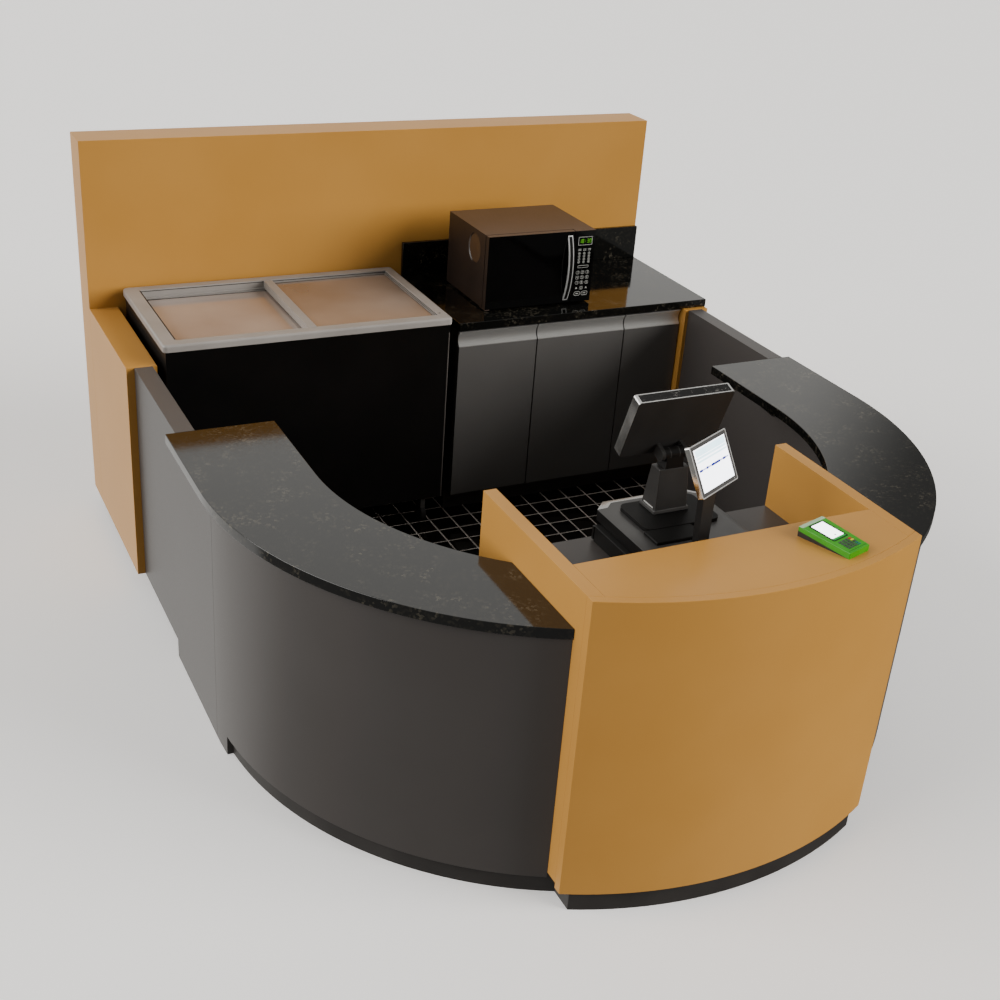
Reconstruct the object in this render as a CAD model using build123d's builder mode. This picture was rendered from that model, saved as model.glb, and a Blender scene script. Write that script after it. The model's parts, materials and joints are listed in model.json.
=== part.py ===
from build123d import *
import os
from math import atan2, cos, degrees, radians, sin

# Street kiosk: an open stand with a tall back wall, low side walls that curve round to a
# bowed cash counter at the front, and the equipment that stands in it.
# Millimetres, +Z up, customers at -Y, origin on the ground in the middle of the footprint.
# A "reach" is a distance from the front face of the back wall towards the customers.

# ---- shell ----
half_width = 1416          # middle to the outer face of the back wall and the wings
back_wall_t = 180
back_wall_top = 1800
wing_t = 126               # short thick walls that come forward from the back wall
wing_reach = 740
low_top = 1050             # top of the wings, the side walls and the front granite
skirt_z = 80               # underside of the walls that stand clear of the ground
side_setback = 33          # outer face of the wing to outer face of the side wall
side_wall_t = 75
step_run = 564             # raised part of the side wall, from the wing to the step
straight_run = 1145        # wing to the start of the curve
foot_in = 118              # start of the curve to the start of the recessed plinth
curve_depth = 1297         # start of the curve to the front corners of the cash counter
wall_end_back = 84         # those corners back to the end of the round wall
plinth_setback = 22
plinth_t = 60

# ---- platform and floor ----
platform_inset = 75        # how far the platform stays in under the wings and the back wall
floor_t = 20
floor_end_back = 182       # front corners back to the end of the floor

# ---- granite ----
granite_t = 38
granite_proud = 4          # granite beyond the outer face of the wings
front_granite_w = 419
granite_after_step = 98    # step in the side wall to the start of the granite
granite_end_back = 78      # front corners back to where its outer curve meets the counter
granite_in_end_back = 502  # and back to where its inner curve does
bracket_t = 10
bracket_drop = 200
bracket_arm = 260
bracket_first_in = 98      # start of the granite to the first bracket
bracket_last_in = 25       # last bracket to the start of the curve
bracket_count = 3

# ---- cash counter ----
cash_half = 615
cash_panel_t = 48
cash_front_t = 30
bow_rise = 136             # how far its front bulges beyond the corners
ledge_top = 1192
ledge_t = 40
ledge_w = 210              # front corners back to the edge of the ledge
desk_top = 943
desk_t = 30
desk_w = 531               # edge of the ledge back to the edge of the desk
side_over = 1              # cash sides beyond the edge of the desk
cash_plinth_in = 15
cash_plinth_side_in = 38

# ---- back counter and its cabinet ----
counter_gap = 63           # freezer to the left end of the back granite
counter_reach = 712
splash_t = 20
splash_h = 168
door_t = 19
door_in = 7                # edge of the back granite to the doors' front faces
door_bottom = 214
door_gap = 6.5
handle_h = 74
handle_scoop = 14          # depth of the handles' hollow front
handle_edge = 3            # flat above and below the hollow
divider_t = 18
cabinet_back_gap = 12
door_1_w = 399.75
door_3_w = 309.75
kick_t = 18
kick_in = 60

# ---- pivot hinges of the cabinet and oven doors ----
pivot_in = 3.5             # pin's axis from the door's front and hinge side
pivot_r = 2
pivot_h = 8
pivot_plate_w = 24
pivot_plate_t = 4
seat_gap = 0.3             # between a loose piece and what carries it

# ---- chest freezer ----
freezer_side_gap = 20      # wing to freezer
freezer_back_gap = 22
freezer_w = 1295
freezer_d = 754
freezer_top = 1145
rim_h = 31                 # height of the pale rim
rim_over = 10              # rim beyond the body
rim_left_w = 68
rim_right_w = 48
rim_front_w = 56
rim_back_w = 53
rim_corner_r = 20
rim_edge_r = 10
rim_seat = 10              # body's wall outside the rim's inner part
freezer_wall_t = 55
freezer_floor_t = 60
castor_h = 150
castor_r = 40
castor_w = 24
castor_in = 70
castor_fork_d = 40
lid_t = 22
lid_drop = 12              # top of the rim down to the upper lid
lid_space = 6              # between the lower and the upper lid
track_w = 12               # ledge that carries a lid
track_play = 5
stile_w = 40               # raised edge profile of the upper lid
glass_t = 6
lid_edge_w = 16
lid_rebate = 8

# ---- microwave oven ----
oven_in = 178              # left end of the back granite to the oven
oven_w = 556
oven_d = 438
oven_h = 346
oven_back_gap = 158
oven_foot_h = 9
oven_foot_r = 14
oven_foot_in = 45
oven_wall_t = 22
oven_back_t = 44
oven_door_t = 30
oven_door_w = 446
oven_door_gap = 6
oven_bar_w = 26
oven_bar_proud = 34
oven_bar_t = 9
oven_bar_foot = 18
oven_bar_in = 12
oven_bar_end = 22

# ---- till ----
till_x = 50                # middle of the till and of its stand
drawer_w = 480
drawer_d = 360
drawer_h = 60
drawer_in = 19             # edge of the desk to the drawer's front
drawer_wall = 8
tray_gap = 5
tray_wall = 6
tray_front_t = 12
till_w = 426
till_d = 430
till_h = 50
till_over = 52             # till beyond the edge of the desk
till_corner = 48           # cut across its corners
till_bevel_w = 33          # sloping border of its top
till_bevel_h = 10
pad_w = 300                # rounded black foot of the stand
pad_d = 200
pad_h = 14
pad_in = 75                # till's staff edge to the pad
pad_r = 30
stand_w = 116
stand_d = 92
stand_top_w = 90
stand_top_d = 44
stand_in = 16              # pad's staff edge to the foot of the stand
stand_h = 209              # pad to the barrel's axis
barrel_in = 70             # pad's staff edge to the barrel's axis
barrel_r = 23
barrel_l = 76
lug_t = 14
screen_w = 378
screen_h = 250
screen_t = 42
screen_tilt = 20
screen_corner = 10
screen_hang = 105          # barrel to the middle of the screen, along the screen
screen_off = 32            # barrel axis to the back of the screen

# ---- customer display ----
post_gap = 30              # till and drawer to the middle of the post
post_off = -66             # middle of the till to the post
post_w = 44
post_d = 32
display_turn = 26
display_tilt = 26
display_w = 218
display_h = 170
display_t = 18
display_off = 24           # hinge to the back of the display
display_side = 60          # hinge to the middle of the display, along its width
display_neck = 60          # hinge down to the top of the post
display_corner = 6
display_barrel_r = 11
display_barrel_l = 24
display_rise = 464         # desk to the display's hinge
display_lug_t = 10

# ---- card reader ----
reader_off = 249           # middle of the till to the reader
reader_in = 152            # edge of the ledge to the middle of the reader
reader_turn = 16
reader_head_w = 124
reader_tail_w = 104
reader_l = 195
reader_head_h = 33
reader_tail_h = 21
reader_head_l = 22         # level ridge at the head
reader_shell_t = 13

# ---- places that follow ----
step_reach = wing_reach + step_run
curve_reach = wing_reach + straight_run
foot_reach = curve_reach + foot_in
corner_reach = curve_reach + curve_depth
front_wall_end = corner_reach - wall_end_back
floor_end = corner_reach - floor_end_back
front_granite_start = step_reach + granite_after_step
front_granite_end = corner_reach - granite_end_back
front_granite_in_end = corner_reach - granite_in_end_back
ledge_start = corner_reach - ledge_w
desk_start = ledge_start - desk_w
cash_side_start = desk_start - side_over
wall_y = (corner_reach + bow_rise - back_wall_t) / 2
wing_in = half_width - wing_t
side_out = half_width - side_setback
side_in = side_out - side_wall_t
granite_out = half_width + granite_proud
granite_in = granite_out - front_granite_w
counter_top = low_top + granite_t
floor_top = skirt_z + floor_t
bow_r = (cash_half**2 + bow_rise**2) / (2 * bow_rise)
cash_in = cash_half - cash_panel_t

os.makedirs("parts", exist_ok=True)


def at(reach):
    """Y of a reach."""
    return wall_y - reach


def between(near, far):
    """Y pair from the far reach to the near one."""
    return at(far), at(near)


def slab(x, y, z, mode=Mode.ADD):
    """Box between the pairs x, y and z, in the part being built."""
    with Locations((sum(x) / 2, sum(y) / 2, sum(z) / 2)):
        Box(x[1] - x[0], y[1] - y[0], z[1] - z[0], mode=mode)


def area(x, y, mode=Mode.ADD):
    """Rectangle between the pairs x and y, in the sketch being built."""
    with Locations((sum(x) / 2, sum(y) / 2)):
        Rectangle(x[1] - x[0], y[1] - y[0], mode=mode)


def inward(x, hinge_end, run):
    """X that lies run inside the hinge end (0 left, 1 right) of the pair x."""
    return x[0] + run if hinge_end == 0 else x[1] - run


def pivot_plate(x, hinge_end, y, z):
    """Plate under a door's hinge corner, with its pin; y is the plate's pair and z its top."""
    plate_x = sorted((x[hinge_end], inward(x, hinge_end, pivot_plate_w)))
    slab(plate_x, y, (z - pivot_plate_t, z))
    with Locations((inward(x, hinge_end, pivot_in), y[0] + pivot_in, z)):
        Cylinder(pivot_r, pivot_h, align=(Align.CENTER, Align.CENTER, Align.MIN))


def pivot_hole(x, hinge_end, front_y, z):
    """Hole in a door's lower edge for the pin of its pivot plate."""
    with Locations((inward(x, hinge_end, pivot_in), front_y + pivot_in, z)):
        Cylinder(
            pivot_r + seat_gap,
            pivot_h + seat_gap,
            align=(Align.CENTER, Align.CENTER, Align.MIN),
            mode=Mode.SUBTRACT,
        )


def save(piece, name):
    """Label a finished piece and write it."""
    piece.label = name
    export_step(piece, f"parts/{name}.step")


def save_pair(piece, name):
    """Write a left piece and its mirror image on the right."""
    save(piece, f"{name}_left")
    with BuildPart() as right:
        mirror(piece, about=Plane.YZ)
    save(right.part, f"{name}_right")


def corner_radius(face, end, stop=cash_half):
    """Radius of the arc from the straight wall at curve_reach to the reach end at x = -stop."""
    run = face - stop
    return (run**2 + (end - curve_reach) ** 2) / (2 * run)


def left_disc(face, radius, mode=Mode.ADD):
    """Disc whose left edge touches x = -face, level with the start of the curve."""
    with Locations((radius - face, at(curve_reach))):
        Circle(radius, mode=mode)


def bow_disc(inset, mode=Mode.ADD):
    """Disc of the bowed front, drawn in by inset."""
    with Locations((0, at(corner_reach + bow_rise) + bow_r)):
        Circle(bow_r - inset, mode=mode)


front_r = corner_radius(side_out, front_wall_end)
granite_r = corner_radius(granite_out, front_granite_end)
granite_in_r = corner_radius(granite_in, front_granite_in_end)

# ---- back wall and wings ----
with BuildPart() as back_wall:
    slab((-half_width, half_width), (wall_y, wall_y + back_wall_t), (skirt_z, back_wall_top))
save(back_wall.part, "back_wall")

with BuildPart() as wing:
    slab((-half_width, -wing_in), between(0, wing_reach), (skirt_z, low_top))
save_pair(wing.part, "wing")

# ---- side walls: one panel each, raised off the ground behind the step ----
with BuildPart() as side_wall:
    slab((-side_out, -side_in), between(wing_reach, curve_reach), (0, low_top))
    slab((-side_out, -side_in), between(wing_reach, step_reach), (0, skirt_z), Mode.SUBTRACT)
    slab(
        (-side_out, -side_in),
        between(front_granite_start, curve_reach),
        (low_top - granite_t, low_top),
        Mode.SUBTRACT,
    )
save_pair(side_wall.part, "side_wall")

# ---- round front walls ----
with BuildPart() as front_wall:
    with BuildSketch():
        left_disc(side_out, front_r)
        left_disc(side_in, front_r - side_wall_t, Mode.SUBTRACT)
        area((-side_out, -cash_half), between(curve_reach, corner_reach), Mode.INTERSECT)
    extrude(amount=low_top - granite_t)
    slab((-side_out, -cash_half), between(foot_reach, corner_reach), (0, skirt_z), Mode.SUBTRACT)
save_pair(front_wall.part, "front_wall")

with BuildPart() as plinth:
    with BuildSketch():
        left_disc(side_out - plinth_setback, front_r - plinth_setback)
        left_disc(
            side_out - plinth_setback - plinth_t, front_r - plinth_setback - plinth_t, Mode.SUBTRACT
        )
        area(
            (-side_out, cash_plinth_side_in - cash_half),
            between(foot_reach, corner_reach),
            Mode.INTERSECT,
        )
    extrude(amount=skirt_z)
    mirror(about=Plane.YZ)
save(plinth.part, "front_plinths")

# ---- platform and floor ----
inner_r = front_r - plinth_setback - plinth_t
with BuildPart() as platform:
    with BuildSketch() as platform_round:
        left_disc(side_out - plinth_setback - plinth_t, inner_r)
        mirror(about=Plane.YZ, mode=Mode.INTERSECT)
        area((-side_in, side_in), between(curve_reach, floor_end), Mode.INTERSECT)
    extrude(amount=skirt_z)
    slab((-side_in, side_in), between(step_reach, curve_reach), (0, skirt_z))
    platform_half = half_width - platform_inset
    platform_back = wall_y + back_wall_t - platform_inset
    slab((-platform_half, platform_half), (at(step_reach), platform_back), (0, skirt_z))
save(platform.part, "platform")

with BuildPart() as floor:
    with BuildSketch(Plane.XY.offset(skirt_z)):
        left_disc(side_in, front_r - side_wall_t)
        mirror(about=Plane.YZ, mode=Mode.INTERSECT)
        area((-side_in, side_in), between(curve_reach, floor_end), Mode.INTERSECT)
        area((-side_in, side_in), between(wing_reach, curve_reach))
        area((-wing_in, wing_in), between(0, wing_reach))
    extrude(amount=floor_t)
save(floor.part, "floor")

# ---- front granite, straight and then round to the cash counter ----
with BuildPart() as granite:
    with BuildSketch(Plane.XY.offset(low_top - granite_t)):
        left_disc(granite_out, granite_r)
        left_disc(granite_in, granite_in_r, Mode.SUBTRACT)
        area((-granite_out, -cash_half), between(curve_reach, corner_reach), Mode.INTERSECT)
        area((-granite_out, -granite_in), between(front_granite_start, curve_reach))
    extrude(amount=granite_t)
save_pair(granite.part, "counter_top")

# steel brackets that carry the granite's inner side
first_bracket = front_granite_start + bracket_first_in
bracket_pitch = (curve_reach - bracket_last_in - first_bracket) / (bracket_count - 1)
with BuildPart() as brackets:
    for row in range(bracket_count):
        with BuildSketch(Plane.XZ.offset(-at(first_bracket + row * bracket_pitch))):
            with BuildLine():
                Polyline(
                    (-side_in, low_top - granite_t),
                    (-side_in + bracket_arm, low_top - granite_t),
                    (-side_in + bracket_arm, low_top - granite_t - bracket_t),
                    (-side_in + bracket_t, low_top - granite_t - bracket_drop),
                    (-side_in, low_top - granite_t - bracket_drop),
                    close=True,
                )
            make_face()
        extrude(amount=bracket_t)
    mirror(about=Plane.YZ)
save(brackets.part, "counter_brackets")

# ---- cash counter ----
with BuildPart() as cash_front:
    with BuildSketch(Plane.XY.offset(skirt_z)):
        bow_disc(0)
        bow_disc(cash_front_t, Mode.SUBTRACT)
        area((-cash_half, cash_half), between(front_wall_end, corner_reach + bow_rise), Mode.INTERSECT)
    extrude(amount=ledge_top - skirt_z)
save(cash_front.part, "cash_front")

with BuildPart() as cash_side:
    with BuildSketch(Plane.XY.offset(floor_top)):
        bow_disc(cash_front_t)
        area((-cash_half, -cash_in), between(cash_side_start, corner_reach), Mode.INTERSECT)
    extrude(amount=ledge_top - floor_top)
save_pair(cash_side.part, "cash_side")

with BuildPart() as cash_ledge:
    with BuildSketch(Plane.XY.offset(ledge_top - ledge_t)):
        bow_disc(cash_front_t)
        area((-cash_in, cash_in), between(ledge_start, corner_reach + bow_rise), Mode.INTERSECT)
    extrude(amount=ledge_t)
save(cash_ledge.part, "cash_ledge")

with BuildPart() as cash_desk:
    with BuildSketch(Plane.XY.offset(desk_top - desk_t)):
        bow_disc(cash_front_t)
        area((-cash_in, cash_in), between(desk_start, corner_reach + bow_rise), Mode.INTERSECT)
    extrude(amount=desk_t)
save(cash_desk.part, "cash_desk")

cash_plinth_half = cash_half - cash_plinth_side_in
with BuildPart() as cash_plinth:
    with BuildSketch():
        bow_disc(cash_plinth_in)
        area(
            (-cash_plinth_half, cash_plinth_half),
            between(floor_end, corner_reach + bow_rise),
            Mode.INTERSECT,
        )
    extrude(amount=skirt_z)
save(cash_plinth.part, "cash_plinth")

# ---- back counter ----
freezer_left = freezer_side_gap - wing_in
freezer_right = freezer_left + freezer_w
counter_left = freezer_right + counter_gap
with BuildPart() as back_counter:
    slab((counter_left, granite_out), between(0, counter_reach), (low_top, counter_top))
save(back_counter.part, "back_counter_top")

with BuildPart() as splash:
    slab((counter_left, half_width), between(0, splash_t), (counter_top, counter_top + splash_h))
save(splash.part, "backsplash")

cabinet_left = counter_left + door_gap
gap_1 = cabinet_left + door_1_w + door_gap / 2
gap_2 = wing_in - door_gap - door_3_w - door_gap / 2
door_front = counter_reach - door_in
cabinet_front = door_front - door_t - door_gap
kick_top = door_bottom - door_gap
handle_top = low_top - door_gap
doors = (
    ((cabinet_left, gap_1 - door_gap / 2), 0),
    ((gap_1 + door_gap / 2, gap_2 - door_gap / 2), 0),
    ((gap_2 + door_gap / 2, wing_in - door_gap), 1),
)
with BuildPart() as uprights:
    for middle in (
        cabinet_left + divider_t / 2,
        gap_1,
        gap_2,
        wing_in - divider_t / 2,
    ):
        slab(
            (middle - divider_t / 2, middle + divider_t / 2),
            between(cabinet_back_gap, cabinet_front),
            (kick_top + divider_t, low_top),
        )
save(uprights.part, "cabinet_uprights")

with BuildPart() as cabinet_base:
    slab(
        (cabinet_left, wing_in),
        between(cabinet_back_gap, cabinet_front),
        (kick_top, kick_top + divider_t),
    )
    slab(
        (cabinet_left, wing_in),
        between(cabinet_front - kick_in - kick_t, cabinet_front - kick_in),
        (floor_top, kick_top),
    )
    for door_x, hinge_end in doors:
        pivot_plate(door_x, hinge_end, between(cabinet_front, door_front), door_bottom - seat_gap)
save(cabinet_base.part, "cabinet_base")

for number, (door_x, hinge_end) in enumerate(doors, 1):
    with BuildPart() as door:
        slab(door_x, between(door_front - door_t, door_front), (door_bottom, handle_top - handle_h))
        pivot_hole(door_x, hinge_end, at(door_front), door_bottom)
    save(door.part, f"cabinet_door_{number}")
    # aluminium profile along the top of the door, hollowed in front for the fingers
    with BuildPart() as handle:
        with BuildSketch(Plane.YZ.offset(door_x[0])):
            with BuildLine():
                Polyline(
                    (at(door_front), handle_top - handle_edge),
                    (at(door_front), handle_top),
                    (at(door_front - door_t), handle_top),
                    (at(door_front - door_t), handle_top - handle_h),
                    (at(door_front), handle_top - handle_h),
                    (at(door_front), handle_top - handle_h + handle_edge),
                )
                ThreePointArc(
                    (at(door_front), handle_top - handle_h + handle_edge),
                    (at(door_front - handle_scoop), handle_top - handle_h / 2),
                    (at(door_front), handle_top - handle_edge),
                )
            make_face()
        extrude(amount=door_x[1] - door_x[0])
    save(handle.part, f"door_handle_{number}")

# ---- chest freezer ----
freezer_back = freezer_back_gap
freezer_front = freezer_back_gap + freezer_d
body_left = freezer_left + rim_over
body_right = freezer_right - rim_over
body_back = freezer_back + rim_over
body_front = freezer_front - rim_over
rim_z = freezer_top - rim_h
lower_seat = freezer_top - lid_drop - 2 * lid_t - lid_space - seat_gap
upper_seat = lower_seat + lid_t + lid_space
lid_x = (freezer_left + rim_left_w, freezer_right - rim_right_w)
lid_back = freezer_back + rim_back_w
lid_front = freezer_front - rim_front_w
well_z = lower_seat - track_w
freezer_bottom = floor_top + castor_h
with BuildPart() as freezer_body:
    slab((body_left, body_right), between(body_back, body_front), (freezer_bottom, rim_z))
    well_x = (body_left + freezer_wall_t, body_right - freezer_wall_t)
    well_back = body_back + freezer_wall_t
    well_front = body_front - freezer_wall_t
    slab(
        well_x,
        between(well_back, well_front),
        (freezer_bottom + freezer_floor_t, rim_z),
        Mode.SUBTRACT,
    )
    slab(
        (body_left + rim_seat, body_right - rim_seat),
        between(body_back + rim_seat, body_front - rim_seat),
        (well_z, rim_z),
        Mode.SUBTRACT,
    )
save(freezer_body.part, "freezer_body")

with BuildPart() as freezer_rim:
    slab((freezer_left, freezer_right), between(freezer_back, freezer_front), (rim_z, freezer_top))
    fillet(freezer_rim.edges().filter_by(Axis.Z), radius=rim_corner_r)
    fillet(freezer_rim.faces().sort_by(Axis.Z)[-1].edges(), radius=rim_edge_r)
    slab(
        (body_left + rim_seat, body_right - rim_seat),
        between(body_back + rim_seat, body_front - rim_seat),
        (well_z, rim_z),
    )
    slab(lid_x, between(lid_back, lid_front), (upper_seat, freezer_top), Mode.SUBTRACT)
    slab(
        lid_x,
        between(lid_back + track_w, lid_front - track_w),
        (lower_seat, freezer_top),
        Mode.SUBTRACT,
    )
    slab(
        (lid_x[0] + track_w, lid_x[1] - track_w),
        between(lid_back + 2 * track_w, lid_front - 2 * track_w),
        (well_z, freezer_top),
        Mode.SUBTRACT,
    )
save(freezer_rim.part, "freezer_rim")

lid_middle = sum(lid_x) / 2


def lid_frame(x, near, far, z, stile=lid_edge_w, stile_left=lid_edge_w):
    """Framed glass lid with its pane in a rebate half way up."""
    slab(x, between(near, far), (z, z + lid_t))
    slab(
        (x[0] + stile_left, x[1] - stile),
        between(near + lid_edge_w, far - lid_edge_w),
        (z, z + lid_t),
        Mode.SUBTRACT,
    )
    pane_z = z + (lid_t - glass_t) / 2
    slab(
        (x[0] + stile_left - lid_rebate, x[1] - stile + lid_rebate),
        between(near + lid_edge_w - lid_rebate, far - lid_edge_w + lid_rebate),
        (pane_z, pane_z + glass_t),
    )


with BuildPart() as lid_lower:
    lid_frame(
        (lid_x[0] + track_play, lid_middle + stile_w / 2),
        lid_back + track_w + track_play,
        lid_front - track_w - track_play,
        lower_seat + seat_gap,
    )
save(lid_lower.part, "freezer_lid_left")

with BuildPart() as lid_upper:
    lid_frame(
        (lid_middle - stile_w / 2, lid_x[1] - track_play),
        lid_back + track_play,
        lid_front - track_play,
        upper_seat + seat_gap,
        stile_left=stile_w,
    )
    stile_x = lid_middle - stile_w / 2
    slab(
        (stile_x, stile_x + stile_w),
        between(lid_back + track_play, lid_front - track_play),
        (freezer_top - lid_drop, freezer_top),
    )
save(lid_upper.part, "freezer_lid_right")

with BuildPart() as castors:
    for x in (body_left + castor_in, body_right - castor_in):
        for reach in (body_back + castor_in, body_front - castor_in):
            with Locations(Location((x, at(reach), floor_top + castor_r), (0, 90, 0))):
                Cylinder(castor_r, castor_w)
            slab(
                (x - castor_w / 2, x + castor_w / 2),
                between(reach - castor_fork_d / 2, reach + castor_fork_d / 2),
                (floor_top + castor_r, freezer_bottom),
            )
save(castors.part, "freezer_castors")

# ---- microwave oven ----
oven_left = counter_left + oven_in
oven_right = oven_left + oven_w
oven_front = oven_back_gap + oven_d
oven_z = counter_top + oven_foot_h
oven_top = oven_z + oven_h
oven_face = oven_front - oven_door_t - oven_door_gap
oven_door_right = oven_left + oven_door_w
oven_door_x = (oven_left, oven_door_right)
with BuildPart() as oven_body:
    slab((oven_left, oven_right), between(oven_back_gap, oven_face), (oven_z, oven_top))
    slab(
        (oven_door_right + oven_door_gap, oven_right),
        between(oven_face, oven_front),
        (oven_z, oven_top),
    )
    slab(
        (oven_left + oven_wall_t, oven_door_right - oven_wall_t),
        between(oven_back_gap + oven_back_t, oven_face),
        (oven_z + oven_wall_t, oven_top - oven_wall_t),
        Mode.SUBTRACT,
    )
    slab(
        (oven_left, oven_left + pivot_plate_w),
        between(oven_face - pivot_plate_w, oven_face),
        (oven_z - seat_gap - pivot_plate_t, oven_z),
    )
    pivot_plate(oven_door_x, 0, between(oven_face, oven_front), oven_z - seat_gap)
    for x in (oven_left + oven_foot_in, oven_right - oven_foot_in):
        for reach in (oven_back_gap + oven_foot_in, oven_face - oven_foot_in):
            with Locations((x, at(reach), counter_top + oven_foot_h / 2)):
                Cylinder(oven_foot_r, oven_foot_h)
save(oven_body.part, "microwave_body")

with BuildPart() as oven_door:
    slab(oven_door_x, between(oven_front - oven_door_t, oven_front), (oven_z, oven_top))
    pivot_hole(oven_door_x, 0, at(oven_front), oven_z)
save(oven_door.part, "microwave_door")

# bowed bar with a foot at each end
bar_right = oven_door_right - oven_bar_in
bar_x = (bar_right - oven_bar_w, bar_right)
bar_low = oven_z + oven_bar_end
bar_high = oven_top - oven_bar_end
bar_mid = (bar_low + bar_high) / 2
bar_y = at(oven_front)
with BuildPart() as oven_handle:
    with BuildSketch(Plane.YZ.offset(bar_x[0])):
        with BuildLine():
            ThreePointArc((bar_y, bar_low), (bar_y - oven_bar_proud, bar_mid), (bar_y, bar_high))
            Line((bar_y, bar_high), (bar_y, bar_high - oven_bar_foot))
            ThreePointArc(
                (bar_y, bar_high - oven_bar_foot),
                (bar_y - oven_bar_proud + oven_bar_t, bar_mid),
                (bar_y, bar_low + oven_bar_foot),
            )
            Line((bar_y, bar_low + oven_bar_foot), (bar_y, bar_low))
        make_face()
    extrude(amount=oven_bar_w)
save(oven_handle.part, "microwave_handle")

# ---- till: drawer, body, stand and screen ----
drawer_z = desk_top
drawer_start = desk_start + drawer_in
housing_x = (till_x - drawer_w / 2, till_x + drawer_w / 2)
tray_back = drawer_start + tray_front_t + tray_gap
with BuildPart() as housing:
    slab(housing_x, between(tray_back, drawer_start + drawer_d), (drawer_z, drawer_z + drawer_h))
    slab(
        (housing_x[0] + drawer_wall, housing_x[1] - drawer_wall),
        between(tray_back, drawer_start + drawer_d - drawer_wall),
        (drawer_z + drawer_wall, drawer_z + drawer_h - drawer_wall),
        Mode.SUBTRACT,
    )
save(housing.part, "cash_drawer_case")

tray_x = (housing_x[0] + drawer_wall + tray_gap, housing_x[1] - drawer_wall - tray_gap)
tray_z = (drawer_z + drawer_wall + seat_gap, drawer_z + drawer_h - drawer_wall - tray_gap)
tray_end = drawer_start + drawer_d - drawer_wall - tray_gap
with BuildPart() as tray:
    slab(tray_x, between(drawer_start + tray_front_t, tray_end), tray_z)
    slab(
        (tray_x[0] + tray_wall, tray_x[1] - tray_wall),
        between(drawer_start + tray_front_t, tray_end - tray_wall),
        (tray_z[0] + tray_wall, tray_z[1]),
        Mode.SUBTRACT,
    )
    slab(
        housing_x,
        between(drawer_start, drawer_start + tray_front_t),
        (drawer_z + tray_gap, drawer_z + drawer_h - tray_gap),
    )
save(tray.part, "cash_drawer_tray")

till_z = drawer_z + drawer_h
till_start = desk_start - till_over
with BuildPart() as till_body:
    slab(
        (till_x - till_w / 2, till_x + till_w / 2),
        between(till_start, till_start + till_d),
        (till_z + seat_gap, till_z + till_h - till_bevel_h),
    )
    chamfer(till_body.edges().filter_by(Axis.Z), length=till_corner)
    till_slope = degrees(atan2(till_bevel_w, till_bevel_h))
    extrude(till_body.faces().sort_by(Axis.Z)[-1], amount=till_bevel_h, taper=till_slope)
save(till_body.part, "till_body")

pad_z = till_z + till_h
pad_start = till_start + pad_in
barrel_reach = pad_start + barrel_in
barrel_z = pad_z + pad_h + stand_h
barrel_at = (till_x, at(barrel_reach), barrel_z)
with BuildPart() as stand:
    with BuildSketch(Plane.XY.offset(pad_z)):
        with Locations((till_x, at(pad_start + pad_d / 2))):
            RectangleRounded(pad_w, pad_d, pad_r)
    extrude(amount=pad_h)
    with BuildSketch(Plane.XY.offset(pad_z + pad_h)):
        with Locations((till_x, at(pad_start + stand_in + stand_d / 2))):
            Rectangle(stand_w, stand_d)
    with BuildSketch(Plane.XY.offset(barrel_z)):
        with Locations((till_x, at(barrel_reach))):
            Rectangle(stand_top_w - 2 * lug_t, stand_top_d)
    loft()
    with Locations(Location(barrel_at, (0, 90, 0))):
        Cylinder(barrel_r, barrel_l)
save(stand.part, "till_stand")


def hinged_screen(width, height, thick, hang, off, barrel_radius, barrel_length, lug, corner, side=0):
    """Screen on the hinge's own axes: X along the barrel, Y towards its front, Z up the screen."""
    with Locations((side, off + thick / 2, hang)):
        Box(width, thick, height)
    fillet(edges().filter_by(Axis.Y), radius=corner)
    for side in (-1, 1):
        middle = side * (barrel_length / 2 + seat_gap + lug / 2)
        with Locations(Location((middle, 0, 0), (0, 90, 0))):
            Cylinder(barrel_radius, lug)
        with Locations((middle, off / 2, 0)):
            Box(lug, off, 2 * barrel_radius)


with BuildPart() as screen_flat:
    hinged_screen(
        screen_w, screen_h, screen_t, screen_hang, screen_off, barrel_r, barrel_l, lug_t, screen_corner
    )
with BuildPart() as screen:
    add(screen_flat.part.rotate(Axis.X, screen_tilt).moved(Location(barrel_at)))
save(screen.part, "till_screen")

# ---- customer display on its post ----
till_end = max(till_start + till_d, drawer_start + drawer_d)
post_reach = till_end + post_gap
display_z = desk_top + display_rise
display_at = (till_x + post_off, at(post_reach), display_z)
display_plane = Plane(display_at, x_dir=(cos(radians(display_turn)), sin(radians(display_turn)), 0))
with BuildPart() as post:
    slab(
        (display_at[0] - post_w / 2, display_at[0] + post_w / 2),
        between(post_reach - post_d / 2, post_reach + post_d / 2),
        (desk_top, display_z - display_neck),
    )
    with BuildSketch(display_plane.offset(-display_neck)):
        Rectangle(display_barrel_l, display_barrel_r)
    extrude(amount=display_neck)
    with BuildSketch(Plane(display_at, z_dir=display_plane.x_dir).offset(-display_barrel_l / 2)):
        Circle(display_barrel_r)
    extrude(amount=display_barrel_l)
save(post.part, "display_post")

with BuildPart() as display_flat:
    hinged_screen(
        display_w, display_h, display_t, 0, display_off, display_barrel_r, display_barrel_l,
        display_lug_t, display_corner, display_side,
    )
with BuildPart() as display:
    add(
        display_flat.part.rotate(Axis.X, display_tilt)
        .rotate(Axis.Z, 180 + display_turn)
        .moved(Location(display_at))
    )
save(display.part, "customer_display")

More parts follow.
